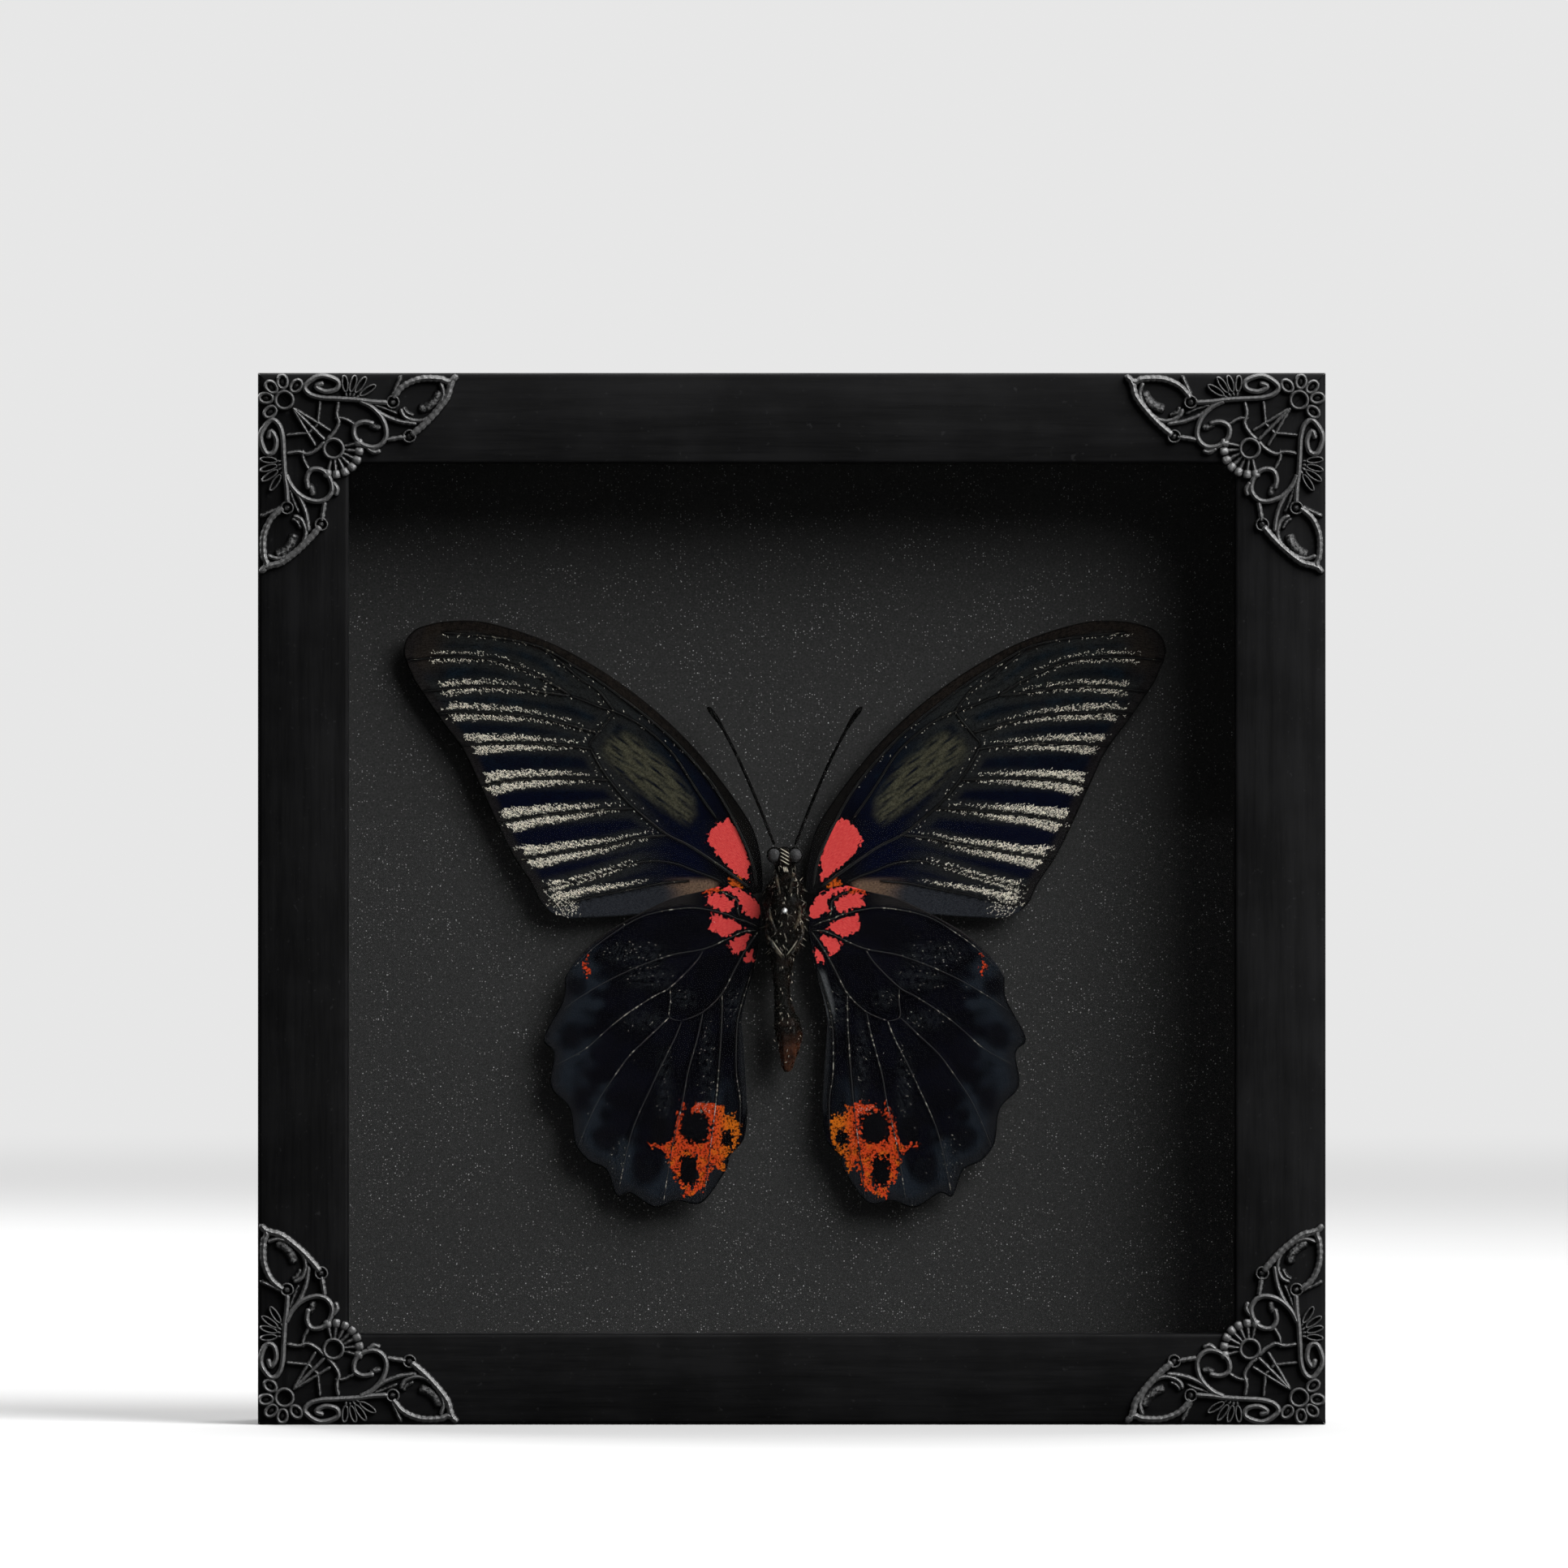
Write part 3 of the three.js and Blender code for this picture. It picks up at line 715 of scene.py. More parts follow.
@dataclass(frozen=True)
class GlitterPaper:
    """Charcoal paper with fine pale glitter."""

    low: Colour = (43, 43, 43)
    high: Colour = (55, 55, 55)
    glitter: Colour = (196, 196, 197)

    def material(self) -> bpy.types.Material:
        """Makes the finish.

        Returns:
            The finish as a material.
        """
        material, sheet, shader = start_material("charcoal_paper", Specular_Ior_Level=0.06)
        place = sheet.object_place()
        tooth = sheet.noise(place, 2600.0, 3.0)
        fine = sheet.group(EFFECTS.specks, {"Place": place, "Scale": 2300.0, "Size": 0.3}).outputs["Mask"]
        bold = sheet.group(EFFECTS.specks, {"Place": place, "Scale": 1300.0, "Size": 0.2}).outputs["Mask"]
        patch = sheet.stepped(sheet.noise(place, 190.0, 3.0), 0.35, 0.65, 0.25, 1.0)
        glints = sheet.maths("MULTIPLY", sheet.maths("MAXIMUM", sheet.maths("MULTIPLY", fine, 0.65), bold), patch)
        base = sheet.mixed(sheet.stepped(tooth, 0.3, 0.7), linear(*self.low), linear(*self.high))
        links = sheet.tree.links
        links.new(sheet.mixed(glints, base, linear(*self.glitter)), shader.inputs["Base Color"])
        links.new(sheet.stepped(glints, 0.0, 0.5, 0.85, 0.45), shader.inputs["Roughness"])
        links.new(sheet.bump(tooth, 0.3, 0.08), shader.inputs["Normal"])
        return material


@dataclass(frozen=True)
class BoardFinish:
    """Pressed board or card with a fine fibre."""

    name: str
    dark: Colour
    pale: Colour

    def material(self) -> bpy.types.Material:
        """Makes the finish.

        Returns:
            The finish as a material.
        """
        material, sheet, shader = start_material(self.name, Specular_Ior_Level=0.25)
        place = sheet.object_place()
        fibre = sheet.group(EFFECTS.grain, {"Place": place, "Scale": 700.0})
        specks = sheet.group(EFFECTS.specks, {"Place": place, "Scale": 420.0, "Size": 0.35}).outputs["Mask"]
        share = sheet.maths("ADD", fibre.outputs["Streak"], sheet.maths("MULTIPLY", specks, 0.25))
        links = sheet.tree.links
        base = sheet.mixed(sheet.stepped(share, 0.3, 0.8), linear(*self.dark), linear(*self.pale))
        links.new(base, shader.inputs["Base Color"])
        links.new(sheet.stepped(fibre.outputs["Tooth"], 0.3, 0.7, 0.6, 0.85), shader.inputs["Roughness"])
        links.new(sheet.bump(fibre.outputs["Tooth"], 0.3, 0.12), shader.inputs["Normal"])
        return material


@dataclass(frozen=True)
class WingMembrane:
    """A scaled membrane that shows the markings stored on its mesh."""

    kind: WingKind
    red: Colour = (206, 44, 52)
    rose: Colour = (238, 98, 90)
    orange: Colour = (204, 68, 30)
    amber: Colour = (202, 106, 20)

    def material(self) -> bpy.types.Material:
        """Makes the finish.

        Returns:
            The finish as a material.
        """
        material, sheet, shader = start_material(f"{self.kind.value}_membrane", Specular_Ior_Level=0.01)
        place = sheet.object_place()
        lie = sheet.own_uv("lie")
        scales = sheet.noise(sheet.stretched(lie, (70.0, 330.0, 1.0)), 1.0, 2.0)
        fine = sheet.noise(place, 3400.0, 2.0)
        ground = sheet.stored("ground", "Color")
        shade = sheet.stepped(sheet.maths("ADD", scales, fine), 0.7, 1.3, 0.45, 1.55)
        lit = sheet.add(
            "ShaderNodeVectorMath", {0: ground, "Scale": shade}, operation="SCALE"
        ).outputs["Vector"]
        pale = sheet.maths("ADD", sheet.stored("pale"), sheet.stepped(fine, 0.3, 0.7, -0.5, 0.5))
        dusted = sheet.mixed(sheet.stepped(pale, 0.6, 1.2, 0.0, 0.5), lit, linear(150, 146, 132))
        edge = {"Place": place, "Scale": 1400.0, "Reach": 2.6}
        red = sheet.group(EFFECTS.ragged, {"Depth": sheet.stored("red"), **edge}).outputs["Mask"]
        glow = sheet.mixed(sheet.stepped(scales, 0.3, 0.75), linear(*self.red), linear(*self.rose))
        warmed = sheet.mixed(red, dusted, glow)
        crumbs = {"Place": place, "Scale": 1700.0, "Reach": 3.6}
        orange = sheet.group(EFFECTS.ragged, {"Depth": sheet.stored("orange"), **crumbs}).outputs["Mask"]
        fire = sheet.mixed(sheet.stored("amber"), linear(*self.orange), linear(*self.amber))
        crumb = sheet.noise(place, 2600.0, 3.0, 0.7)
        ember = sheet.mixed(sheet.stepped(crumb, 0.4, 0.53, 0.06, 1.0), linear(60, 16, 9), fire)
        spotted = sheet.mixed(orange, warmed, ember)
        links = sheet.tree.links
        links.new(spotted, shader.inputs["Base Color"])
        links.new(sheet.stepped(scales, 0.3, 0.7, 0.5, 0.72), shader.inputs["Roughness"])
        links.new(sheet.bump(sheet.maths("ADD", scales, fine), 0.3, 0.06), shader.inputs["Normal"])
        return material


@dataclass(frozen=True)
class VeinFinish:
    """A raised vein, dark, with a broken row of pale dots along it: pale scales with painted glints of light on them.
    """

    kind: WingKind
    dark: Colour
    pale: Colour
    share: float

    def material(self) -> bpy.types.Material:
        """Makes the finish.

        Returns:
            The finish as a material.
        """
        material, sheet, shader = start_material(f"{self.kind.value}_veins", Specular_Ior_Level=0.15)
        place = sheet.object_place()
        beads = sheet.noise(place, 1500.0, 2.0)
        stretch = sheet.noise(place, 160.0, 3.0)
        level = sheet.maths("ADD", beads, sheet.stepped(stretch, 0.3, 0.7, -0.16, 0.12))
        # The pale dots are partly pale scales and partly painted glints: a painted highlight in the base colour.
        painted_glints = sheet.stepped(level, 0.72 - self.share * 0.35, 0.86 - self.share * 0.35)
        links = sheet.tree.links
        links.new(sheet.mixed(painted_glints, linear(*self.dark), linear(*self.pale)), shader.inputs["Base Color"])
        links.new(sheet.stepped(beads, 0.3, 0.7, 0.5, 0.75), shader.inputs["Roughness"])
        return material


@dataclass(frozen=True)
class ScaleFinish:
    """Loose scales and hairs, each with the tone stored on it."""

    name: str
    low: float = 0.32
    high: float = 0.55
    gloss: float = 0.2

    def material(self) -> bpy.types.Material:
        """Makes the finish.

        Returns:
            The finish as a material.
        """
        material, sheet, shader = start_material(self.name, Specular_Ior_Level=self.gloss)
        place = sheet.object_place()
        fine = sheet.noise(place, 2200.0, 2.0)
        tone = sheet.stored("tone", "Color")
        shade = sheet.stepped(fine, 0.3, 0.7, 0.8, 1.1)
        lit = sheet.add("ShaderNodeVectorMath", {0: tone, "Scale": shade}, operation="SCALE").outputs["Vector"]
        links = sheet.tree.links
        links.new(lit, shader.inputs["Base Color"])
        links.new(sheet.stepped(fine, 0.3, 0.7, self.low, self.high), shader.inputs["Roughness"])
        return material


@dataclass(frozen=True)
class Chitin:
    """The dried skin of the body: dark, patchy and a little glossy."""

    name: str
    dark: Colour
    warm: Colour
    tip: Colour
    tip_from: float = -1.0
    tip_to: float = -1.1
    gloss: float = 0.16

    def material(self) -> bpy.types.Material:
        """Makes the finish.

        Returns:
            The finish as a material.
        """
        material, sheet, shader = start_material(self.name, Specular_Ior_Level=self.gloss)
        place = sheet.object_place()
        patch = sheet.noise(place, 420.0, 4.0)
        pits = sheet.noise(place, 2400.0, 3.0)
        height = sheet.add("ShaderNodeSeparateXYZ", {"Vector": place}).outputs["Z"]
        end = sheet.stepped(height, self.tip_from, self.tip_to)
        base = sheet.mixed(sheet.stepped(patch, 0.42, 0.7), linear(*self.dark), linear(*self.warm))
        ended = sheet.mixed(sheet.maths("MULTIPLY", end, sheet.stepped(patch, 0.3, 0.6)), base, linear(*self.tip))
        links = sheet.tree.links
        links.new(ended, shader.inputs["Base Color"])
        links.new(sheet.stepped(pits, 0.3, 0.7, 0.14, 0.34), shader.inputs["Roughness"])
        links.new(sheet.bump(sheet.maths("ADD", pits, patch), 0.9, 0.3), shader.inputs["Normal"])
        return material


@dataclass(frozen=True)
class StageFinish:
    """A pale floor that fades into the backdrop far from the object."""

    pale: float = 0.78
    backdrop: float = 0.8

    def material(self) -> bpy.types.Material:
        """Makes the finish.

        Returns:
            The finish as a material.
        """
        material, sheet, shader = start_material("pale_floor", Roughness=0.9, Specular_Ior_Level=0.1)
        place = sheet.object_place()
        away = sheet.add("ShaderNodeVectorMath", {0: place}, operation="LENGTH").outputs["Value"]
        cloud = sheet.noise(place, 6.0, 2.0)
        low, high = self.pale - 0.01, self.pale + 0.01
        links = sheet.tree.links
        links.new(
            sheet.mixed(cloud, (low, low, low, 1.0), (high, high, high, 1.0)), shader.inputs["Base Color"]
        )
        glow = sheet.add(
            "ShaderNodeEmission", {"Color": (1, 1, 1, 1), "Strength": self.backdrop}
        ).outputs["Emission"]
        fade = sheet.add("ShaderNodeMixShader", {0: sheet.stepped(away, 0.5, 3.0), 1: shader.outputs[0], 2: glow})
        output = sheet.tree.nodes["Material Output"]
        links.new(fade.outputs[0], output.inputs["Surface"])
        return material


@dataclass
class ShadowBox:
    """The black frame with its pane, boards and fittings."""

    width: float = 200.0
    height: float = 197.0
    depth: float = 32.0
    face: float = 17.0
    lip: float = 3.0
    rabbet: float = 5.0
    mitre_gap: float = 0.05
    sight_bevel: float = 0.7
    outer_bevel: float = 0.9
    carried: dict[str, Sequence[str]] = field(
        default_factory=lambda: {
            "card": ["spacer_bottom", "spacer_left", "spacer_top", "spacer_right"],
            "steel": [
                *(f"point_{side}_{end}" for side in ("bottom", "left", "top", "right") for end in "ab"),
                "sawtooth_hanger",
                "hanger_nail_left",
                "hanger_nail_right",
            ],
            "paper": ["backing_board"],
            "board": ["back_panel"],
            "glass": ["glass_pane"],
        }
    )

    def rail(self, length: float) -> bmesh.types.BMesh:
        """A rail that lies along x with its outer edge on z = 0 and mitred ends.

        Args:
            length: its length along the outer edge.

        Returns:
            The rail, in millimetres.
        """
        front, back = -self.depth / 2, self.depth / 2
        ledge = front + self.lip
        wall = self.face - self.rabbet
        corners = [(0, front), (0, back), (wall, back), (wall, ledge), (self.face, ledge), (self.face, front)]
        bm = bmesh.new()
        start = [bm.verts.new((-length / 2 + z + self.mitre_gap, y, z)) for z, y in corners]
        end_face = bm.faces.new(start)
        grown = bmesh.ops.extrude_face_region(bm, geom=[end_face])["geom"]
        for vert in (item for item in grown if isinstance(item, bmesh.types.BMVert)):
            vert.co.x = length / 2 - vert.co.z - self.mitre_gap
        bmesh.ops.recalc_face_normals(bm, faces=bm.faces)
        self.bevel_along(bm, (0, front), self.outer_bevel)
        self.bevel_along(bm, (0, back), self.outer_bevel)
        self.bevel_along(bm, (self.face, front), self.sight_bevel)
        return bm

    @staticmethod
    def bevel_along(bm: bmesh.types.BMesh, corner: tuple[float, float], offset: float) -> None:
        """Rounds one long edge of a rail.

        Args:
            bm: the rail.
            corner: the edge's z and y.
            offset: the width of the rounding.
        """

        def on_corner(vert: bmesh.types.BMVert) -> bool:
            """The vertex lies on the edge."""
            return abs(vert.co.z - corner[0]) < 1e-3 and abs(vert.co.y - corner[1]) < 1e-3

        edges = [edge for edge in bm.edges if all(on_corner(vert) for vert in edge.verts)]
        bmesh.ops.bevel(
            bm, geom=edges, offset=offset, offset_type="OFFSET", affect="EDGES", segments=3, profile=0.5, material=-1
        )

    def build(self) -> None:
        """Makes the four rails and dresses the pane, the boards and the fittings."""
        middle = Vector((0, 0, self.height / 2))
        finishes = {grain: BlackWood(grain).material() for grain in Grain}
        turns = {"bottom": 0, "right": 270, "top": 180, "left": 90}
        for side, turn in turns.items():
            level = side in ("bottom", "top")
            bm = self.rail(self.width if level else self.height)
            out = self.height / 2 if level else self.width / 2
            bmesh.ops.translate(bm, verts=bm.verts, vec=(0, 0, -out))
            bmesh.ops.rotate(bm, verts=bm.verts, cent=(0, 0, 0), matrix=Matrix.Rotation(math.radians(turn), 3, "Y"))
            bmesh.ops.translate(bm, verts=bm.verts, vec=middle)
            finish = finishes[Grain.ACROSS if level else Grain.UPRIGHT]
            settle(bm, f"{side}_rail", finish, f"rail_{side}", 50.0)
        self.dress()

    def dress(self) -> None:
        """Gives the solids that keep their shape their finishes."""
        finishes = {
            "card": BoardFinish("black_card", (10, 10, 11), (24, 24, 25)).material(),
            "steel": DullSteel().material(),
            "paper": GlitterPaper().material(),
            "board": BoardFinish("hardboard", (74, 52, 36), (118, 88, 62)).material(),
            "glass": ClearGlass().material(),
        }
        for finish, names in self.carried.items():
            for name in names:
                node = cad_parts[name]
                node.data.materials.clear()
                node.data.materials.append(finishes[finish])
                LOG.info("%s: dressed in %s", name, finishes[finish].name)
        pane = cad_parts["glass_pane"]
        pane.visible_shadow = False
        pane.visible_diffuse = False


@dataclass(frozen=True)
class Stroke:
    """A raised line of the filigree."""

    points: Line
    width: float
    height: float = 1.3
    rope: bool = False
    taper: float = 1.0


@dataclass(frozen=True)
class Flower:
    """A ring with a fan of leaves."""

    at: tuple[float, float]
    outer: float
    inner: float
    reach: float
    half: float
    leaves: tuple[float, ...]
    hollow: bool


@dataclass
class FiligreeCorners:
    """The four openwork corner mounts, drawn by distances from the corner along its two edges."""

    half_width: float = 100.0
    height: float = 197.0
    front: float = -16.0
    rise: float = 1.39
    margin: float = 0.02
    step: float = 0.32
    bold: float = 1.5
    beads: Line = ((25.3, 5.5), (28.4, 11.9))
    bead_radius: float = 0.8
    flowers: Sequence[Flower] = (
        Flower((5, 5.1), 2.0, 1.25, 4.9, 1.12, (140, 186, 225, 264, 310), True),
        Flower((14.2, 14.2), 2.2, 1.4, 5.85, 0.74, (-13, 6, 26, 45, 64, 84, 103), False),
    )
    half: Sequence[Stroke] = (
        Stroke(
            (
                (24.6, 5.6), (21.3, 5.4), (18.5, 5.05), (15, 4.85), (11.8, 4.65), (9.6, 3.9), (8.9, 2.4),
                (11.7, 0.6), (14.9, 1.5), (14.8, 3), (12.6, 3.5), (10.9, 2.5), (12.6, 1.9),
            ),
            0.8, 1.35,
        ),
        Stroke(
            (
                (22, 9.6), (19.8, 9.2), (18.2, 10), (18.1, 11.7), (19, 13), (20.5, 13.8), (22.1, 13.9),
                (23.5, 13), (24.1, 11.5), (23.8, 9.6), (22.8, 7.8), (21, 6.2), (18.8, 5.2),
            ),
            0.8, 1.3,
        ),
        Stroke(((25.2, 4.9), (27.3, 2.5), (30.5, 1.2), (34.2, 1.2), (35.9, 1.7), (37.6, 0.4)), 0.95, 1.3, True),
        Stroke(((36.7, 1), (36.1, 2.4), (35.5, 4.5), (33.4, 7.3), (31, 9.8), (28.6, 11.8)), 1.05, 1.4, True),
        Stroke(
            ((26.7, 6.5), (27.5, 8.2), (29.7, 9), (31.9, 8.4), (33.8, 6.4), (34.8, 3.9), (34.1, 1.6)),
            0.7, 1.1,
        ),
        Stroke(((27.2, 6.2), (27.9, 7.4), (29.4, 8.1)), 0.7, 0.9, True),
        Stroke(((30.0, 6.9), (31.9, 6.3), (33.4, 5.0), (34.2, 3.2)), 2.1, 0.86),
        Stroke(((20.7, 9.4), (22.0, 10.2), (23.4, 10.2)), 1.5, 0.86),
        Stroke(((20.6, 5.9), (23.5, 7.9), (26.5, 9.1), (30, 9.6)), 0.75, 1.1),
        Stroke(((21.5, 5.9), (24.4, 6.9), (26.4, 7.8)), 0.55, 0.9),
        Stroke(((15.2, 5.2), (14.8, 7.6), (15.2, 9.4), (14.2, 11.3), (12.7, 12.7)), 0.65, 1.1),
        Stroke(((6.6, 6.6), (10, 8.6), (13.9, 11)), 0.55, 1.05),
        Stroke(((24, 12.6), (26.3, 12.2), (28, 12)), 0.8, 1.2, True),
        Stroke(((11.7, 5), (11.4, 8), (11.2, 9.6), (10.3, 10.3)), 0.55, 1.0),
        Stroke(((14.2, 8.5), (16.2, 8.6), (18.4, 9.8)), 0.6, 1.0),
        Stroke(((24.9, 4.8), (27, 0.4)), 0.7, 0.95),
        Stroke(((20.3, 13.9), (21.8, 14.9), (23.2, 14.4)), 0.75, 1.2, True),
    )
    middle: Stroke = Stroke(((6.4, 6.4), (12.8, 12.8)), 0.6, 1.1)
    lobes: Ovals = (
        ((16.6, 4.6), (16.2, 0.5)), ((17.1, 4.6), (18.3, 0.5)), ((17.6, 4.7), (20.3, 0.8)), ((18.1, 4.9), (22.1, 2.3)),
    )

    def draw_stroke(self, bm: bmesh.types.BMesh, stroke: Stroke) -> None:
        """Draws a stroke in distances along the edges and height above the frame's face.

        Args:
            bm: the mesh that takes it.
            stroke: the stroke.
        """
        line = smooth_line(stroke.points, 12) if len(stroke.points) > 2 else np.asarray(stroke.points, float)
        count = max(6, round(length_of(line) / self.step))
        flat = evenly(line, count)
        width = stroke.width * (self.bold if stroke.width < 1.2 else 1.0)
        radii = round_ends(count, width)
        radii *= np.linspace(2 / (1 + stroke.taper), 2 * stroke.taper / (1 + stroke.taper), count)
        if stroke.rope:
            radii *= 1 + 0.07 * np.sin(np.arange(count) * self.step * math.tau / 1.15)
        path = np.column_stack([flat, np.zeros(count)])
        sweep(bm, path, radii, 8, (0, 0, 1), half_round(2 * stroke.height / width))

    def draw_ring(self, bm: bmesh.types.BMesh, centre: np.ndarray, half: np.ndarray, turn: float, width: float,
                  height: float) -> None:
        """Draws an oval ring.

        Args:
            bm: the mesh that takes it.
            centre: its middle.
            half: its half length and half width.
            turn: the angle of its length, in degrees.
            width: the width of its line.
            height: the height of its line.
        """
        angle = np.linspace(0, math.tau, 25)
        along = np.array([math.cos(math.radians(turn)), math.sin(math.radians(turn))])
        across = np.array([-along[1], along[0]])
        flat = centre + np.outer(half[0] * np.cos(angle), along) + np.outer(half[1] * np.sin(angle), across)
        path = np.column_stack([flat, np.zeros(len(angle))])
        radii = np.full(len(angle), width / 2)
        sweep(bm, path, radii, 8, (0, 0, 1), half_round(2 * height / width), True)

    def draw_flower(self, bm: bmesh.types.BMesh, flower: Flower) -> None:
        """Draws a flower's ring and leaves.

        Args:
            bm: the mesh that takes it.
            flower: the flower.
        """
        centre = np.array(flower.at, float)
        radius = (flower.outer + flower.inner) / 2
        self.draw_ring(bm, centre, np.array([radius, radius]), 0, flower.outer - flower.inner, 1.3)
        for turn in flower.leaves:
            way = np.array([math.cos(math.radians(turn)), math.sin(math.radians(turn))])
            if flower.hollow:
                middle = centre + way * (flower.outer + flower.reach) / 2
                half = np.array([(flower.reach - flower.outer) / 2 - 0.2, flower.half - 0.2])
                self.draw_ring(bm, middle, half, turn, 0.8, 1.2)
                seed = Stroke((tuple(middle - way * 0.9), tuple(middle + way * 0.9)), 0.9, 0.55)
                self.draw_stroke(bm, seed)
            else:
                foot, knee = centre + way * flower.inner, centre + way * (flower.reach - 2.1)
                tip = centre + way * flower.reach
                self.draw_stroke(bm, Stroke((tuple(foot), tuple(tip - way * 0.4)), 0.6, 1.0, False, 1.3))
                self.draw_stroke(bm, Stroke((tuple(knee), tuple(tip)), 2.5 * flower.half, 1.4, False, 1.25))

    def draw_lobe(self, bm: bmesh.types.BMesh, foot: np.ndarray, tip: np.ndarray) -> None:
        """Draws a hollow leaf of a fan.

        Args:
            bm: the mesh that takes it.
            foot: where it starts.
            tip: where it ends.
        """
        way = tip - foot
        turn = math.degrees(math.atan2(way[1], way[0]))
        half = np.array([np.linalg.norm(way) * 0.36, 0.52])
        self.draw_ring(bm, foot + way * 0.62, half, turn, 0.5, 1.1)
        self.draw_stroke(bm, Stroke((tuple(foot), tuple(foot + way * 0.3)), 0.5, 1.0))

    def draw_bead(self, bm: bmesh.types.BMesh, at: tuple[float, float]) -> None:
        """Draws a round bead with a flat back.

        Args:
            bm: the mesh that takes it.
            at: its place.
        """
        turn = Matrix.Translation((*at, 0)) @ Matrix.Diagonal((1, 1, 0.95, 1))
        made = bmesh.ops.create_uvsphere(bm, u_segments=14, v_segments=10, radius=self.bead_radius, matrix=turn)
        for vert in made["verts"]:
            vert.co.z = max(vert.co.z, 0.0)
        self.draw_ring(bm, np.array(at), np.array([1.12, 1.12]), 0, 0.5, 1.1)

    def corner(self) -> bmesh.types.BMesh:
        """One corner in distances along its edges and height above the frame's face.

        Returns:
            The drawing.
        """
        bm = bmesh.new()
        self.draw_stroke(bm, self.middle)
        for stroke in self.half:
            other = Stroke(
                tuple((b, a) for a, b in stroke.points), stroke.width, stroke.height, stroke.rope, stroke.taper
            )
            self.draw_stroke(bm, stroke)
            self.draw_stroke(bm, other)
        for foot, tip in self.lobes:
            self.draw_lobe(bm, np.array(foot), np.array(tip))
            self.draw_lobe(bm, np.array(foot[::-1]), np.array(tip[::-1]))
        for a, b in self.beads:
            self.draw_bead(bm, (a, b))
            self.draw_bead(bm, (b, a))
        for flower in self.flowers:
            self.draw_flower(bm, flower)
        return bm

    def build(self) -> None:
        """Makes the four corners from one drawing."""
        finish = AntiqueSilver(self.front).material()
        drawing = self.corner()
        for upper in (False, True):
            for side in Side:
                name = f"filigree_{'top' if upper else 'bottom'}_{side.word}"
                bm = drawing.copy()
                for vert in bm.verts:
                    a, b, rise = vert.co
                    a, b = max(a, self.margin), max(b, self.margin)
                    x = side.value * (self.half_width - a)
                    vert.co = (x, self.front - min(rise, self.rise), self.height - b if upper else b)
                settle(bm, f"{name}_mount", finish, name, 60.0)
        drawing.free()


SPECIMEN = (-1.3, 96.6)


@dataclass(frozen=True)
class WingPlan:
    """The outlines and veins of a left wing: outwards and upwards from the middle of the thorax."""

    upper: np.ndarray
    outer: np.ndarray
    lower: np.ndarray
    veins: dict[str, Line]
    plane: float
    cells: tuple[int, int]

    def place(self, along: np.ndarray, across: np.ndarray) -> np.ndarray:
        """Points of the wing's surface.

        Args:
            along: the share of the way from the base to the outer margin.
            across: the share of the way from the lower edge to the upper one.

        Returns:
            A point for each pair of shares.
        """

        def on(line: np.ndarray, share: np.ndarray) -> np.ndarray:
            """The points of a line at these shares of its length."""
            fine = evenly(line, 400)
            spots = np.linspace(0, 1, 400)
            return np.column_stack([np.interp(share, spots, axis) for axis in fine.T])

        s, t = along[:, None], across[:, None]
        low, high, end = on(self.lower, along), on(self.upper, along), on(self.outer, across)
        start = (1 - t) * self.lower[0] + t * self.upper[0]
        corners = (1 - s) * start + s * ((1 - t) * self.outer[0] + t * self.outer[-1])
        return (1 - t) * low + t * high + (1 - s) * start + s * end - corners

    @cached_property
    def grid(self) -> tuple[np.ndarray, np.ndarray]:
        """The shares along and across at each vertex of the wing's grid."""
        along, across = np.meshgrid(np.linspace(0, 1, self.cells[0] + 1), np.linspace(0, 1, self.cells[1] + 1))
        return along.ravel(), across.ravel()

    @cached_property
    def points(self) -> np.ndarray:
        """The points of the wing's grid."""
        return self.place(*self.grid)

    @cached_property
    def vein_lines(self) -> dict[str, np.ndarray]:
        """The veins as smooth lines."""
        return {name: smooth_line(points, 6) for name, points in self.veins.items()}

    @cached_property
    def vein_gaps(self) -> dict[str, np.ndarray]:
        """The distance of each grid point to each vein."""
        return {name: distance_to(self.points, line) for name, line in self.vein_lines.items()}

    @cached_property
    def vein_gap(self) -> np.ndarray:
        """The distance of each grid point to the nearest vein."""
        return np.min(list(self.vein_gaps.values()), axis=0)

    @cached_property
    def rim_gap(self) -> np.ndarray:
        """The distance of each grid point to the outer margin."""
        return distance_to(self.points, evenly(self.outer, 160))


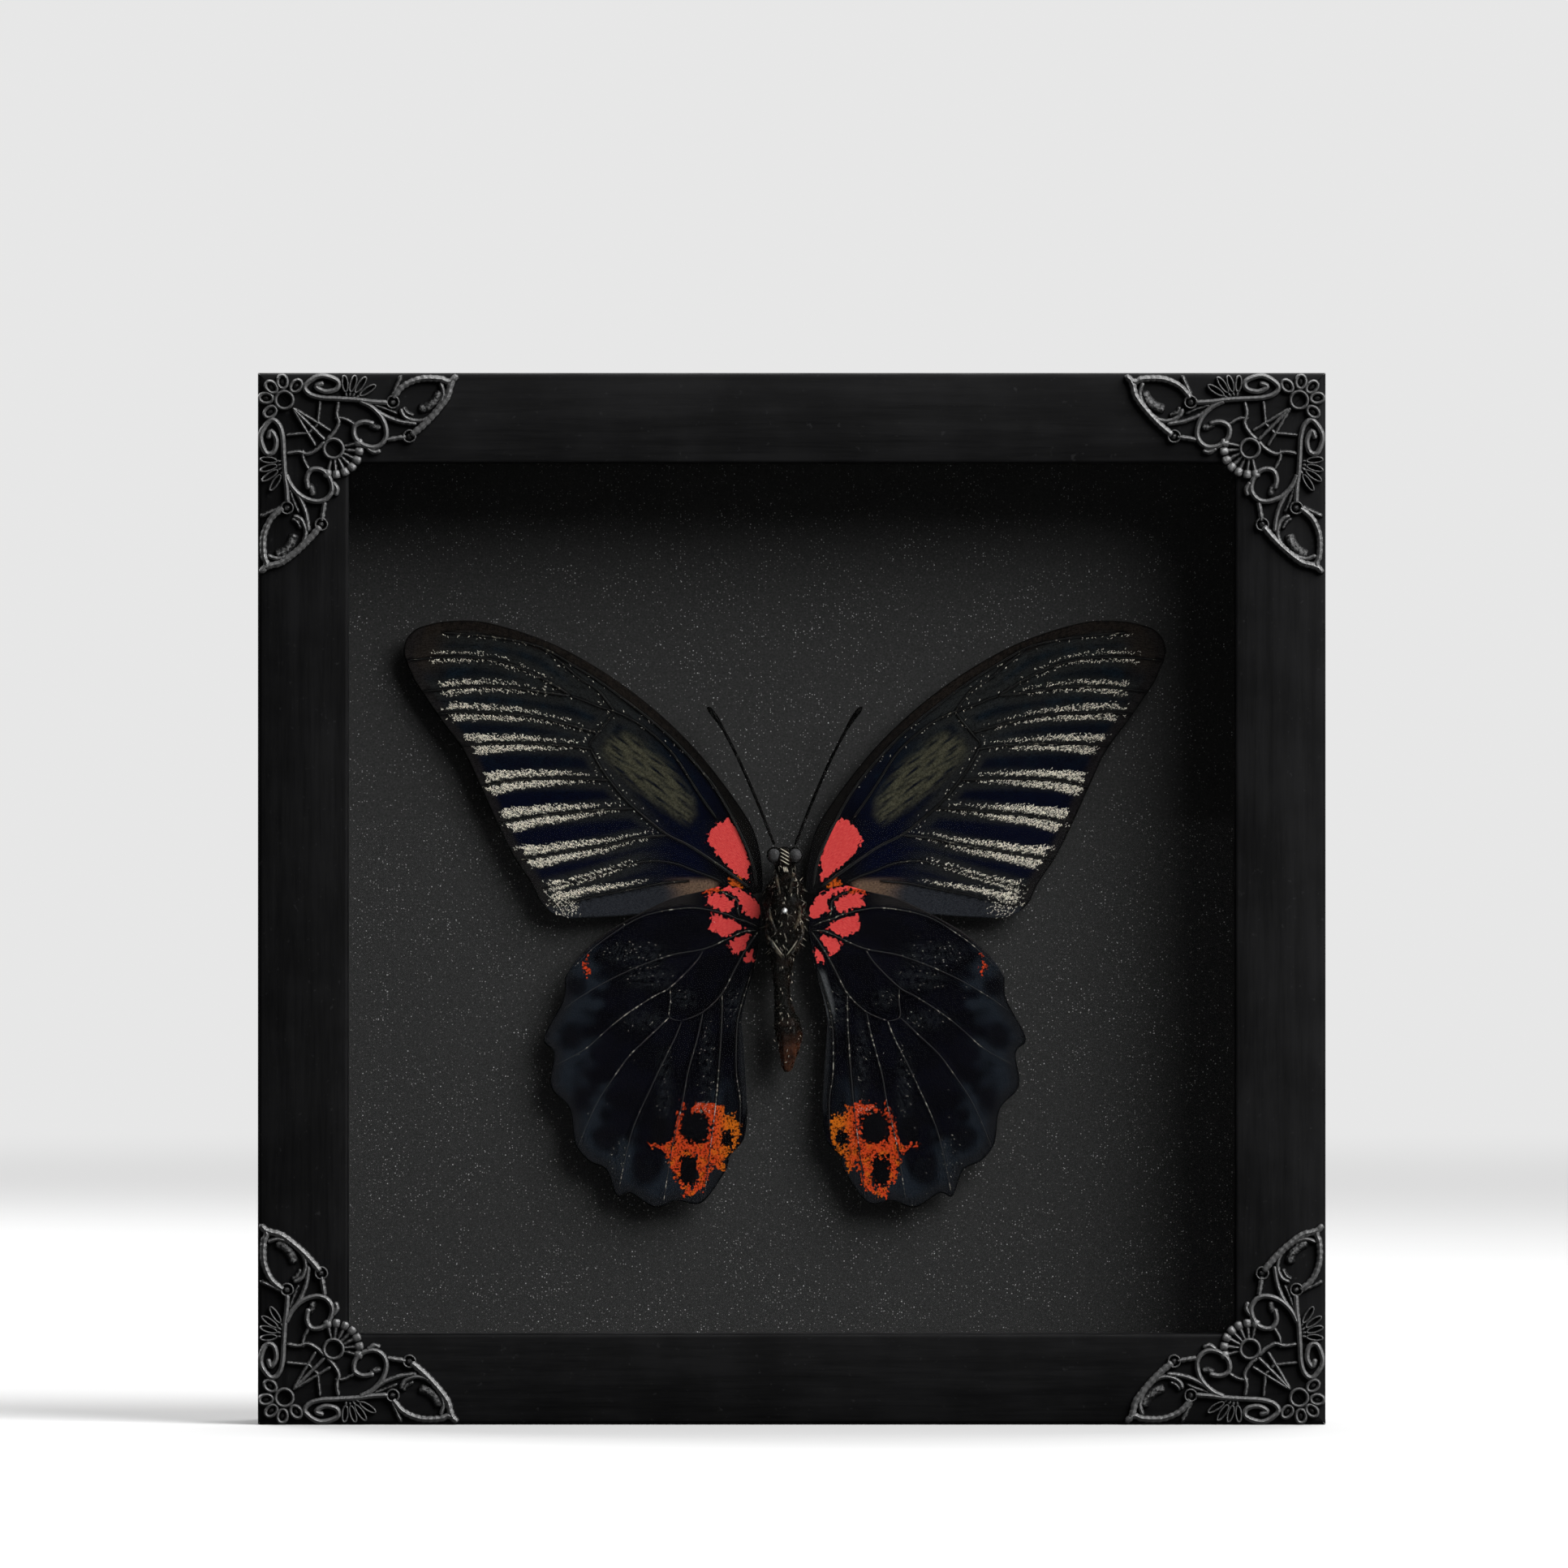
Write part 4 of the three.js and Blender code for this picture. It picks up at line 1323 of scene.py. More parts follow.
def forewing_plan() -> WingPlan:
    """Lays out the forewing.

    Returns:
        The plan of the forewing.
    """
    costa = smooth_line(
        ((4.1, 4), (4.8, 11.2), (7.7, 18), (17.4, 30.6), (29, 41), (42.6, 49.3), (56.1, 53.8), (64.5, 54)), 10
    )
    apex = smooth_line(((64.5, 54), (69.7, 52.4), (71.8, 48.5), (69.7, 42.7)), 12)
    margin = smooth_line(
        ((69.7, 42.7), (65.1, 35.9), (60.5, 29.6), (57.4, 23.1), (54, 15.6), (51.1, 9.8), (47.7, 4.7), (46.2, 1.4)),
        10,
    )
    tornus = smooth_line(((46.2, 1.4), (44.5, -0.4), (42.1, -1.5), (40.2, -1.9)), 12)
    inner = smooth_line(((40.2, -1.9), (30.5, -1.4), (17.8, 0), (4.4, 3)), 10)
    veins = {
        "radius": (
            (5.3, 3.9), (6.2, 8.8), (9.2, 15.7), (13.7, 23.4), (20, 30.7), (25.9, 36), (34.3, 42.3),
            (39.9, 45.8), (45.3, 48.9), (50.8, 50.4), (57, 51.3), (64.3, 51.9),
        ),
        "radial_stem": (
            (12.8, 16.8), (15.5, 20.6), (17.6, 23.8), (21, 29), (24.9, 32.8), (28.4, 35.3), (32, 37),
            (35.2, 38), (38, 39.2), (40.3, 40),
        ),
        "first_radial": ((32, 37), (35.2, 41.1), (38.4, 43.1), (41.8, 46), (45.3, 48.7)),
        "third_radial": (
            (40.3, 40), (44.6, 42.7), (49.2, 45), (53.9, 46.5), (57.7, 47.1), (64.3, 47.2), (70.9, 46.7),
        ),
        "fourth_radial": ((40.3, 40), (44.6, 40.5), (50, 41.3), (55.4, 41.7), (60.5, 41.5), (68.2, 40.8)),
        "cell_end": ((32, 37), (35.2, 33), (36.6, 31.4), (36.7, 30.4)),
        "fifth_radial": (
            (35.2, 33), (39.9, 34.3), (44.6, 35.5), (49.2, 36.3), (55.4, 36.7), (60.5, 36.9), (65.1, 36.5),
        ),
        "first_median": ((36.2, 29.9), (39.9, 30.5), (44.6, 30.8), (50.8, 31), (56.6, 30.8), (60.8, 30.6)),
        "cubitus": (
            (6.7, 3.9), (10.9, 7), (14.8, 9.7), (18.2, 11.9), (22.1, 13.8), (25.2, 16.2), (28.4, 18.9),
            (30.8, 21.4), (33.3, 24.5), (35.3, 27.6), (36.7, 30.4),
        ),
        "second_median": ((33, 24.1), (37.2, 24.3), (41.1, 24.4), (46.1, 24.3), (50.8, 24), (53.9, 23.5), (57.4, 22.7)),
        "third_median": (
            (28.4, 18.8), (33.3, 18.6), (39.1, 18), (44.6, 17.5), (48.8, 16.9), (51.5, 16.3), (54.2, 15.7),
        ),
        "first_cubital": ((22.2, 13.7), (25.2, 13.5), (28.4, 13), (33.3, 11.8), (39.1, 10.9), (44.6, 9.9), (50.6, 9)),
        "fold": (
            (11.6, 4.9), (14.1, 6), (16.9, 7), (19.6, 8.1), (22.1, 8.7), (25.2, 8.9), (28.4, 8.4), (33.6, 6.7),
            (40.6, 4.7), (45.3, 3.6),
        ),
        "anal": ((18.2, 5.1), (23.1, 4.7), (26.6, 4), (30.1, 3.3), (35.3, 2.3), (39.1, 1.4), (43, 0.4)),
    }
    return WingPlan(
        upper=joined_lines(costa, apex[:13]),
        outer=joined_lines(apex[12:], margin, tornus[:13])[::-1],
        lower=joined_lines(tornus[12:], inner)[::-1],
        veins=veins,
        plane=3.25,
        cells=(220, 120),
    )


def hindwing_plan() -> WingPlan:
    """Lays out the hindwing.

    Returns:
        The plan of the hindwing.
    """
    costa = smooth_line(
        (
            (4.5, -3.2), (4.9, 1), (7, 3.2), (10.9, 4.3), (15.6, 3.2), (22.4, 1.4), (32.6, -3.9), (38.2, -8.4),
            (41.4, -13),
        ),
        10,
    )
    margin = smooth_line(
        (
            (41.4, -13), (41.8, -17.3), (45.4, -24.4), (43.5, -27.3), (44.1, -33.5), (40.5, -37.8), (39.5, -44.2),
            (36.9, -47.6), (33.6, -49.3), (31.6, -54.2), (29.2, -53.6), (24.5, -56.3), (20.3, -55.1), (15.6, -55.4),
            (11.1, -49.3), (10.5, -46.8), (7.7, -43.4), (7, -38),
        ),
        10,
    )
    inner = smooth_line(((7, -38), (7.7, -26.3), (8, -19), (5.6, -9.6), (4.5, -3.2)), 10)
    veins = {
        "subcosta": (
            (5.2, -3.4), (7.4, -2.4), (9, -2), (10.6, -1.25), (13.7, -0.44), (17.1, 0.07), (20.2, -0.1),
            (23.6, -0.65), (26.9, -1.6), (30.1, -3.25), (35.6, -7.1), (39.8, -11.2),
        ),
        "humeral": ((8.4, -1.7), (8.8, -0.4), (8.9, 1.4), (10.6, 2.5), (12.2, 3.3)),
        "radial": (
            (5.3, -4.2), (7.8, -4.4), (10.6, -5.7), (15.1, -7.6), (21, -8.7), (26.4, -10.5), (29.9, -12),
            (33.4, -13.7), (38.5, -16.7), (41.6, -18.9),
        ),
        "first_median": (
            (15.3, -7.8), (16.9, -10.3), (21.6, -14.9), (24.7, -16.6), (29.9, -20), (33.4, -22.8), (37.6, -26.5),
            (43.2, -29.6),
        ),
        "cell_end": ((21.6, -14.9), (21.5, -17.4), (21.7, -20.5), (19.4, -21.2)),
        "second_median": (
            (21.7, -20.5), (25.8, -24.4), (29.3, -27.8), (32.5, -32.2), (35, -36), (37.2, -40.6), (38.9, -45),
        ),
        "third_median": (
            (19.4, -21.2), (20.6, -24.3), (23.3, -29.7), (25.5, -34.4), (27.7, -39.2), (29.3, -43.9), (31.3, -53.2),
        ),
        "cubitus": ((4.9, -4.2), (7.4, -7.9), (9.2, -11.1), (11.8, -16), (15.4, -19.5), (19.4, -21.2)),
        "first_cubital": (
            (15.4, -19.5), (15.9, -22.1), (16.4, -24.3), (18.2, -30.8), (19.2, -36.3), (20.3, -41.1), (21.4, -46),
            (22.8, -55.2),
        ),
        "second_cubital": (
            (11.8, -16), (11.8, -18.9), (12, -24.3), (12.7, -33.8), (13.3, -39.5), (14.1, -46), (15.2, -55),
        ),
        "anal": (
            (4.9, -6.5), (5.7, -10.7), (6.95, -14.2), (8.2, -18.3), (8.8, -20.9), (9.1, -24.3), (9.1, -31.1),
            (8.4, -36), (8.5, -42),
        ),
    }
    return WingPlan(
        upper=costa,
        outer=margin[::-1],
        lower=inner[::-1],
        veins=veins,
        plane=2.55,
        cells=(180, 170),
    )


@dataclass
class Markings:
    """What is painted on a wing, at each point of its grid."""

    ground: np.ndarray
    pale: np.ndarray
    red: np.ndarray
    orange: np.ndarray
    amber: np.ndarray


def blended(base: np.ndarray, colour: np.ndarray, share: np.ndarray) -> np.ndarray:
    """Colours moved towards one colour.

    Args:
        base: the colours, one a row.
        colour: the colour that they move to.
        share: how far each moves.

    Returns:
        The new colours.
    """
    return base + (colour - base) * np.clip(share, 0, 1)[:, None]


def cloud_at(points: np.ndarray, size: float, seed: int) -> np.ndarray:
    """Soft random clouds of about 0 to 1.

    Args:
        points: where they are wanted.
        size: the size of a cloud.
        seed: which clouds.

    Returns:
        A value for each point.
    """
    luck = np.random.default_rng(seed)
    total = np.zeros(len(points))
    for _ in range(24):
        turn, shift = luck.uniform(0, math.tau, 2)
        pitch = luck.uniform(0.6, 2.0) / size
        total += np.sin((points @ np.array([math.cos(turn), math.sin(turn)])) * pitch * math.tau + shift)
    return 0.5 + total / 12


@dataclass
class ForewingPaint:
    """The forewing's markings: navy lenses, rows of pale scales, a red wedge and a brown front edge."""

    plan: WingPlan
    rows: dict[str, tuple[float, float, float, float]] = field(
        default_factory=lambda: {
            "radius": (0.16, 12.0, 0.5, 1.3),
            "radial_stem": (0.12, 18.0, 0.4, 1.2),
            "first_radial": (0.3, 33.0, 0.4, 1.2),
            "third_radial": (0.52, 42.0, 0.45, 1.35),
            "fourth_radial": (0.6, 42.0, 0.45, 1.5),
            "cell_end": (0.3, 30.0, 0.6, 1.3),
            "fifth_radial": (0.7, 36.0, 0.5, 1.7),
            "first_median": (0.85, 37.0, 0.5, 1.8),
            "cubitus": (0.3, 22.0, 0.7, 1.5),
            "second_median": (1.0, 33.5, 0.5, 2.0),
            "third_median": (1.0, 28.5, 0.5, 2.1),
            "first_cubital": (1.0, 22.5, 0.5, 2.0),
            "fold": (0.9, 25.0, 0.25, 0.95),
            "anal": (1.0, 24.0, 0.75, 2.0),
        }
    )
    red_wedge: Line = (
        (10.7, 17), (13.1, 15.6), (14.7, 12.9), (13.4, 11), (11.7, 9), (9.7, 7.1), (6.9, 5.1), (6.8, 9), (7.8, 12.4),
        (9.2, 15.4),
    )
    olive_cell: Line = (
        (35, 29.3), (33.4, 32.5), (29.6, 33.6), (25.9, 31), (21, 26.6), (16.9, 20.8), (16.5, 17.5), (18.2, 15.4),
        (23.1, 18.2), (29.1, 22.7),
    )
    orange_spot: tuple[float, float] = (9.3, 4.6)

    def pale_rows(self) -> np.ndarray:
        """Lays the rows of pale scales.

        Returns:
            How thickly the pale scales lie at each point.
        """
        plan = self.plan
        u, v = plan.points.T
        spread = eased(7.0, 2.5, plan.rim_gap)
        pale = np.zeros(len(u))
        for name, (strength, start, near, far) in self.rows.items():
            gap = plan.vein_gaps[name]
            outward = eased(24.0, 6.0, plan.rim_gap)
            reach = near + 0.45 + (far - near - 0.45) * outward + 0.5 * spread * strength
            row = eased(near - 0.2, near + 0.15, gap) * eased(reach, reach - 0.55, gap)
            row *= strength * eased(start, start + 3.5, u) * (0.4 + 0.6 * outward)
            if name == "anal":
                row *= side_of(plan.points, plan.vein_lines[name]) > 0
            if name == "radius":
                row *= side_of(plan.points, plan.vein_lines[name]) < 0
            if name == "fold":
                row *= eased(46.0, 42.5, u)
            pale = np.maximum(pale, row)
        clear = np.where(plan.vein_gaps["fold"] < 1.0, 0.2, 0.42)
        pale *= eased(clear * 0.5, clear, plan.vein_gap)
        edge = 1.7 + 3.0 * eased(34, 46, v) + 1.6 * (cloud_at(plan.points, 2.2, 5) - 0.5)
        pale *= eased(edge - 0.6, edge + 0.9, plan.rim_gap)
        tornus = eased(4.5, 1.0, np.hypot(u - 41.5, v - 0.2))
        return np.maximum(pale, 0.32 * tornus * eased(0.8, 1.8, plan.rim_gap))

    def markings(self) -> Markings:
        """Paints the forewing.

        Returns:
            Everything painted on the forewing.
        """
        plan = self.plan
        points = plan.points
        u, v = points.T
        height = eased(8, 42, v - 0.12 * u)
        navy, slate = tint(3, 5, 21), tint(14, 18, 22)
        ground = navy + (slate - navy) * height[:, None]
        clouds = cloud_at(points, 7.0, 2)
        ground = blended(ground, tint(13, 25, 34), 0.55 * height * eased(0.45, 0.8, clouds))
        rows = self.pale_rows()
        ground = blended(ground, tint(34, 35, 34), 0.75 * eased(2.6, 1.2, plan.vein_gap) * eased(20, 30, u))
        streaks = cloud_at(np.column_stack([(0.83 * u + 0.56 * v) * 0.3, (0.83 * v - 0.56 * u) * 2.0]), 2.4, 3)
        olive = eased(-0.8, 2.0, depth_inside(points, self.olive_cell)) * eased(-0.3, 0.8, streaks)
        ground = blended(ground, tint(66, 65, 52), 0.95 * olive)
        ground = blended(ground, tint(4, 4, 7), eased(17.0, 12.0, u) * eased(25, 14, v))
        front = distance_to(points, evenly(plan.upper, 160))
        band = eased(2.5, 1.7, front) * eased(3, 8, u)
        brown = tint(15, 14, 13) + (tint(29, 25, 22) - tint(15, 14, 13)) * eased(10, 30, u)[:, None]
        ground = ground + (brown - ground) * band[:, None]
        ground = blended(ground, tint(13, 12, 12), 0.8 * band * eased(0.5, 0.75, cloud_at(points, 1.1, 8)))
        ground = blended(ground, tint(36, 31, 27), 0.8 * eased(9, 3, np.hypot(u - 70, v - 49)))
        ground = blended(ground, tint(27, 25, 25), 0.85 * eased(2.6, 1.2, plan.rim_gap))
        under = eased(0.1, -0.5, side_of(points, plan.vein_lines["anal"])) * eased(11, 14, u)
        slip = tint(98, 79, 65) + (tint(38, 40, 45) - tint(98, 79, 65)) * eased(17, 23, u)[:, None]
        ground = ground + (slip - ground) * (under * eased(12, 14, u))[:, None]
        tan = eased(1.6, 0.2, np.abs(side_of(points, np.array([[12.0, 4.4], [22.0, 4.6]])))) * eased(24, 17, u)
        ground = blended(ground, tint(98, 79, 65), 0.9 * tan * eased(12, 14.5, u))
        ground = blended(ground, tint(6, 6, 7), 0.92 * eased(0.5, 0.2, plan.vein_gap))
        ground = blended(ground, tint(7, 7, 7), 0.9 * eased(0.45, 0.1, np.minimum(plan.rim_gap, front)))
        spot = 1.25 - np.hypot(u - self.orange_spot[0], v - self.orange_spot[1])
        red = depth_inside(points, self.red_wedge)
        return Markings(ground, rows, red, spot, 0.5 + 0.4 * eased(9, 8, u))


@dataclass
class HindwingPaint:
    """The hindwing's markings: red patches at the base and orange rings at the tail, on navy black."""

    plan: WingPlan
    # The wing has a folded inner edge that gets a painted highlight.
    folded_with_highlight: bool
    red_patches: Sequence[Line] = (
        ((14.5, 2.7), (12.2, 3), (9.6, 1.1), (9.4, 0.3), (10.6, -0.6), (12.65, -0.3), (14.9, 0.5)),
        (
            (13.9, 3.9), (11.4, 4.1), (9, 3.8), (6.5, 2.5), (4.5, 0), (4.5, -1.4), (5.9, -2), (7.8, -0.75),
            (8.4, -0.1), (8.3, 1.7), (10, 2.7), (12.2, 3.4),
        ),
        (
            (14.1, -0.75), (12.2, -1.15), (10.2, -1.8), (7.6, -3.8), (11, -5.6), (12.65, -4.8), (14.3, -3.8),
            (13.9, -2.2),
        ),
        ((6.75, -4.7), (6.3, -5.6), (8.2, -9.1), (9.4, -8.5), (10.7, -7), (10.4, -6.4), (8, -4.8)),
        ((5.9, -7.5), (5.3, -8.5), (5.9, -10.1), (7.4, -10.1), (7.7, -9.5), (6.75, -7.9)),
    )
    orange_patch: Line = (
        (16.8, -36.7), (13.9, -36.4), (11.5, -37.2), (11.2, -38.9), (9.3, -38.7), (8.4, -40.8), (8.7, -43.9),
        (9.9, -46.1), (11.2, -47.1), (11.2, -49.1), (12.6, -49.5), (13.6, -48.2), (14.0, -50.5), (15.2, -53.0),
        (17.0, -54.2), (19.4, -54.6), (19.2, -53.6), (21.0, -51.0), (21.6, -48.6), (22.3, -46.2), (23.6, -45.4),
        (25.6, -44.9), (25.6, -44.3), (22.0, -44.2), (21.4, -43.0), (20.6, -40.0), (19.6, -36.1), (18.9, -36.2),
        (18.4, -38.3),
    )
    tick: Line = ((37, -8.8), (37.8, -10.2), (38.3, -11.2), (37.1, -12.8), (36.4, -12.3), (36.9, -10.9))
    black_spots: Ovals = (
        ((10.9, -43.4), (1.1, 1.7)),
        ((16.9, -41.2), (2.75, 3.1)),
        ((18.1, -49.4), (1.75, 3.1)),
        ((23.7, -41.6), (1.6, 2.5)),
    )
    soft_spots: Ovals = (
        ((38.2, -35.8), (1.7, 2.7)),
        ((33.4, -43.6), (2.2, 2.2)),
        ((26.6, -49.6), (2.1, 2.6)),
        ((40.4, -24.4), (2.0, 2.2)),
        ((39.2, -14.8), (1.8, 1.8)),
    )
    scuffs: Ovals = (
        ((28.1, -8.6), (4.5, 1.7)),
        ((25.3, -13.0), (3.6, 1.7)),
        ((26.4, -21.0), (2.8, 1.2)),
        ((19.0, -16.9), (1.6, 1.3)),
        ((9.6, -19.0), (1.1, 2.8)),
        ((31.0, -47.0), (1.6, 3.0)),
        ((22.6, -34.0), (0.9, 4.5)),
        ((14.6, -29.0), (0.7, 5.0)),
    )

    def nearest(self, outlines: Sequence[Line]) -> np.ndarray:
        """How deep each point lies in the nearest of several outlines."""
        return np.max([depth_inside(self.plan.points, outline) for outline in outlines], axis=0)

    def markings(self) -> Markings:
        """Paints the hindwing.

        Returns:
            Everything painted on the hindwing.
        """
        plan = self.plan
        points = plan.points
        u, v = points.T
        clouds = cloud_at(points, 9.0, 11)
        ground = tint(2, 2, 5) + (tint(4, 4, 10) - tint(2, 2, 5)) * eased(0.3, 0.8, clouds)[:, None]
        tail = eased(8.0, 14.0, u)
        depth = 7.5 + 3.5 * (cloud_at(points, 6.0, 12) - 0.5)
        lobes = 2.2 * eased(2.2, 0.3, plan.vein_gap)
        rim = eased(depth + lobes, depth + lobes - 4.5, plan.rim_gap) * tail
        ground = blended(ground, tint(27, 32, 39), 0.9 * rim)
        ground = blended(ground, tint(24, 25, 28), rim * eased(3.0, 0.8, plan.rim_gap))
        rubbed = np.max([eased(-1.2, 0.5, depth_in_oval(points, *scuff)) for scuff in self.scuffs], axis=0)
        rubbed *= eased(0.35, 0.7, cloud_at(points, 1.3, 13))
        ground = blended(ground, tint(34, 36, 39), 0.6 * rubbed)
        for centre, half in self.soft_spots:
            ground = blended(ground, tint(6, 6, 10), 0.95 * eased(-1.0, 0.9, depth_in_oval(points, centre, half)))
        above = eased(0.2, 0.9, side_of(points, plan.vein_lines["subcosta"])) * eased(15, 19, u)
        ground = blended(ground, tint(31, 29, 29), 0.9 * above)
        inner = distance_to(points, plan.lower)
        ground = blended(ground, tint(34, 35, 37), 0.6 * eased(1.3, 0.5, inner) * eased(-12, -16, v))
        # On the folded hindwing, a pale grey strip along the inner edge is a painted highlight on the fold.
        if self.folded_with_highlight:
            fold_highlight = eased(1.7, 0.9, inner) * eased(-11.0, -13.0, v) * eased(-22.5, -18.5, v)
            ground = blended(ground, tint(74, 76, 78), 0.8 * fold_highlight)
        ground = blended(ground, tint(6, 6, 7), 0.9 * eased(0.6, 0.15, plan.vein_gap) * eased(15.5, 13, u))
        ground = blended(ground, tint(6, 6, 7), 0.9 * eased(0.5, 0.1, plan.rim_gap))
        red = np.minimum(self.nearest(self.red_patches), plan.vein_gap - 0.58)
        orange = np.maximum(depth_inside(points, self.orange_patch) - 0.25, depth_inside(points, self.tick) - 0.2)
        for centre, half in self.black_spots:
            spot = depth_in_oval(points, centre, half)
            ground = blended(ground, tint(3, 3, 5), eased(-0.5, 0.4, spot))
            orange = np.minimum(orange, -spot)
        orange = np.minimum(orange, plan.vein_gap - 0.05)
        sliver = depth_inside(points, ((15.6, 3.6), (12.4, 3.75), (12.4, 3.1), (15.0, 2.9)))
        orange = np.maximum(orange, sliver)
        mottled = 0.7 * eased(0.5, 0.9, cloud_at(points, 2.5, 16)) * eased(-43, -46, v)
        amber = np.clip(eased(13.5, 10.0, u) + mottled, 0, 1)
        dust = 0.09 * rubbed + 0.001 * eased(6, 12, u)
        dust = np.maximum(dust, 0.5 * eased(-0.4, 0.5, depth_in_oval(points, (15.0, -37.4), (1.7, 1.1))))
        return Markings(ground, 0.5 * dust, red, orange, amber)


@dataclass
class Wing:
    """One wing: its membrane, its veins and the pale scales on it."""

    kind: WingKind
    side: Side
    plan: WingPlan
    paint: Markings
    finishes: dict[str, bpy.types.Material]
    thickness: float = 0.18
    scales_per_area: float = 27.0
    scale_size: tuple[float, float, float] = (0.44, 0.14, 0.05)
    size_range: tuple[float, float] = (0.65, 1.25)
    slant: tuple[float, float] = (38.0, 14.0)
    lean_share: float = 0.75
    tone: tuple[float, float, float] = (0.64, 0.5, 0.28)
    tone_limits: tuple[float, float] = (0.12, 1.2)
    sparse_scale: float = 0.7
    sparse_tone: float = 0.65

    @property
    def name(self) -> str:
        """The wing's node."""
        return f"{self.kind.value}_{self.side.word}"

    def lift(self, points: np.ndarray) -> np.ndarray:
        """How far the wing stands back from the front at these points, with soft waves.

        Args:
            points: outwards and upwards from the thorax.

        Returns:
            A depth for each point.
        """
        u, v = points.T
        wave = 0.1 * np.sin(u * 0.23 + v * 0.11) + 0.06 * np.sin(v * 0.41 - u * 0.17)
        return self.plan.plane + 0.12 + wave * eased(6, 18, np.hypot(u, v))

    def in_place(self, points: np.ndarray, forward: object = 0.0) -> np.ndarray:
        """Wing points in the frame of the whole object.

        Args:
            points: outwards and upwards from the thorax.
            forward: how far in front of the membrane they lie.

        Returns:
            The points in three dimensions.
        """
        depth = self.lift(points) - forward
        return np.column_stack([SPECIMEN[0] + self.side.value * points[:, 0], depth, SPECIMEN[1] + points[:, 1]])

    def membrane(self) -> None:
        """Makes the membrane and stores its markings on it."""
        bm = bmesh.new()
        bm.loops.layers.uv.new("lie")
        across, along = self.plan.cells[1], self.plan.cells[0]
        bmesh.ops.create_grid(bm, x_segments=along, y_segments=across, size=1.0, calc_uvs=True)
        mesh = bpy.data.meshes.new(self.name)
        bm.to_mesh(mesh)
        bm.free()
        flat = np.empty(len(mesh.vertices) * 3)
        mesh.vertices.foreach_get("co", flat)
        shares = (flat.reshape(-1, 3) + 1) / 2
        row = np.rint(shares[:, 1] * across).astype(int) * (along + 1) + np.rint(shares[:, 0] * along).astype(int)
        points = self.plan.points[row]
        ridge = 0.07 * eased(0.9, 0.1, self.plan.vein_gap[row])
        mesh.vertices.foreach_set("co", self.in_place(points, ridge).reshape(-1))
        set_colours(mesh, "ground", np.column_stack([self.paint.ground[row], np.ones(len(row))]))
        for name in ("pale", "red", "orange", "amber"):
            set_values(mesh, name, getattr(self.paint, name)[row])
        if self.side is Side.LEFT:
            mesh.flip_normals()
        piece = settle_mesh(mesh, f"{self.name}_membrane", self.finishes["membrane"], self.name)
        wall = piece.modifiers.new("thickness", "SOLIDIFY")
        wall.thickness = self.thickness * MM
        wall.offset = -1.0

    def veins(self) -> None:
        """Makes the raised veins."""
        bm = bmesh.new()
        stout = 0.24 if self.kind is WingKind.FORE else 0.12
        for name, line in self.plan.vein_lines.items():
            count = max(8, round(length_of(line) / 0.7))
            flat = evenly(line, count)
            radii = round_ends(count, 2 * stout, 3) * np.linspace(1.0, 0.5, count)
            if name in ("fold", "anal") and self.kind is WingKind.FORE:
                radii *= 0.55
            if name in ("cubitus", "radius", "humeral"):
                radii *= 1.25
            sweep(bm, self.in_place(flat, 0.08), radii, 6)
        settle(bm, f"{self.name}_veins", self.finishes["veins"])

    def scales(self, seed: int) -> None:
        """Scatters the pale scales where the markings are pale.

        Args:
            seed: the scatter's seed.
        """
        luck = np.random.default_rng(seed)
        along, across = self.plan.cells
        corners = self.plan.points.reshape(across + 1, along + 1, 2)
        step_s = corners[:-1, 1:] - corners[:-1, :-1]
        step_t = corners[1:, :-1] - corners[:-1, :-1]
        area = np.abs(step_s[..., 0] * step_t[..., 1] - step_s[..., 1] * step_t[..., 0])
        chance = area * self.paint.pale.reshape(across + 1, along + 1)[:-1, :-1]
        count = int(chance.sum() * self.scales_per_area)
        picks = luck.choice(chance.size, count, p=(chance / chance.sum()).ravel())
        row, column = np.unravel_index(picks, chance.shape)
        shift = luck.random((count, 2))
        points = corners[row, column] + step_s[row, column] * shift[:, :1] + step_t[row, column] * shift[:, 1:]
        way = step_s[row, column]
        way = way / np.maximum(np.linalg.norm(way, axis=1, keepdims=True), 1e-9)
        slant = np.radians(luck.normal(*self.slant, count)) * np.where(luck.random(count) < self.lean_share, 1, -1)
        turned, tilted = np.cos(slant), np.sin(slant)
        lie = np.column_stack([way[:, 0] * turned - way[:, 1] * tilted, way[:, 0] * tilted + way[:, 1] * turned])
        sparse = self.kind is WingKind.HIND
        size = luck.uniform(*self.size_range, count)[:, None] * (self.sparse_scale if sparse else 1.0)
        long = np.column_stack([self.side.value * lie[:, 0], luck.normal(0, 0.18, count), lie[:, 1]])
        wide = np.column_stack([-self.side.value * lie[:, 1], luck.normal(0, 0.25, count), lie[:, 0]])
        out = np.tile([0.0, -1.0, 0.0], (count, 1))
        reach, breadth, lift = self.scale_size
        axes = np.stack([long * size * reach, wide * size * breadth, out * lift], 1)
        strength = self.paint.pale.reshape(across + 1, along + 1)[row, column]
        base, gain, spread = self.tone
        bright = np.clip(luck.normal(base + gain * strength, spread, count), *self.tone_limits)
        tones = bright[:, None] * tint(238, 232, 216) * (self.sparse_tone if sparse else 1.0)
        bm = bmesh.new()
        bmesh.ops.create_cone(bm, cap_ends=True, segments=4, radius1=0.5, radius2=0.0, depth=1.0)
        bmesh.ops.recalc_face_normals(bm, faces=bm.faces)
        mesh = copies_of(bm, count)
        spread_copies(mesh, self.in_place(points, 0.1), axes, tones)
        if np.linalg.det(axes[0]) < 0:
            mesh.flip_normals()
        settle_mesh(mesh, f"{self.name}_scales", self.finishes["scales"], None, 20.0)

    def build(self, seed: int) -> None:
        """Makes the wing's three pieces.

        Args:
            seed: the seed of its scatter.
        """
        self.membrane()
        self.veins()
        self.scales(seed)


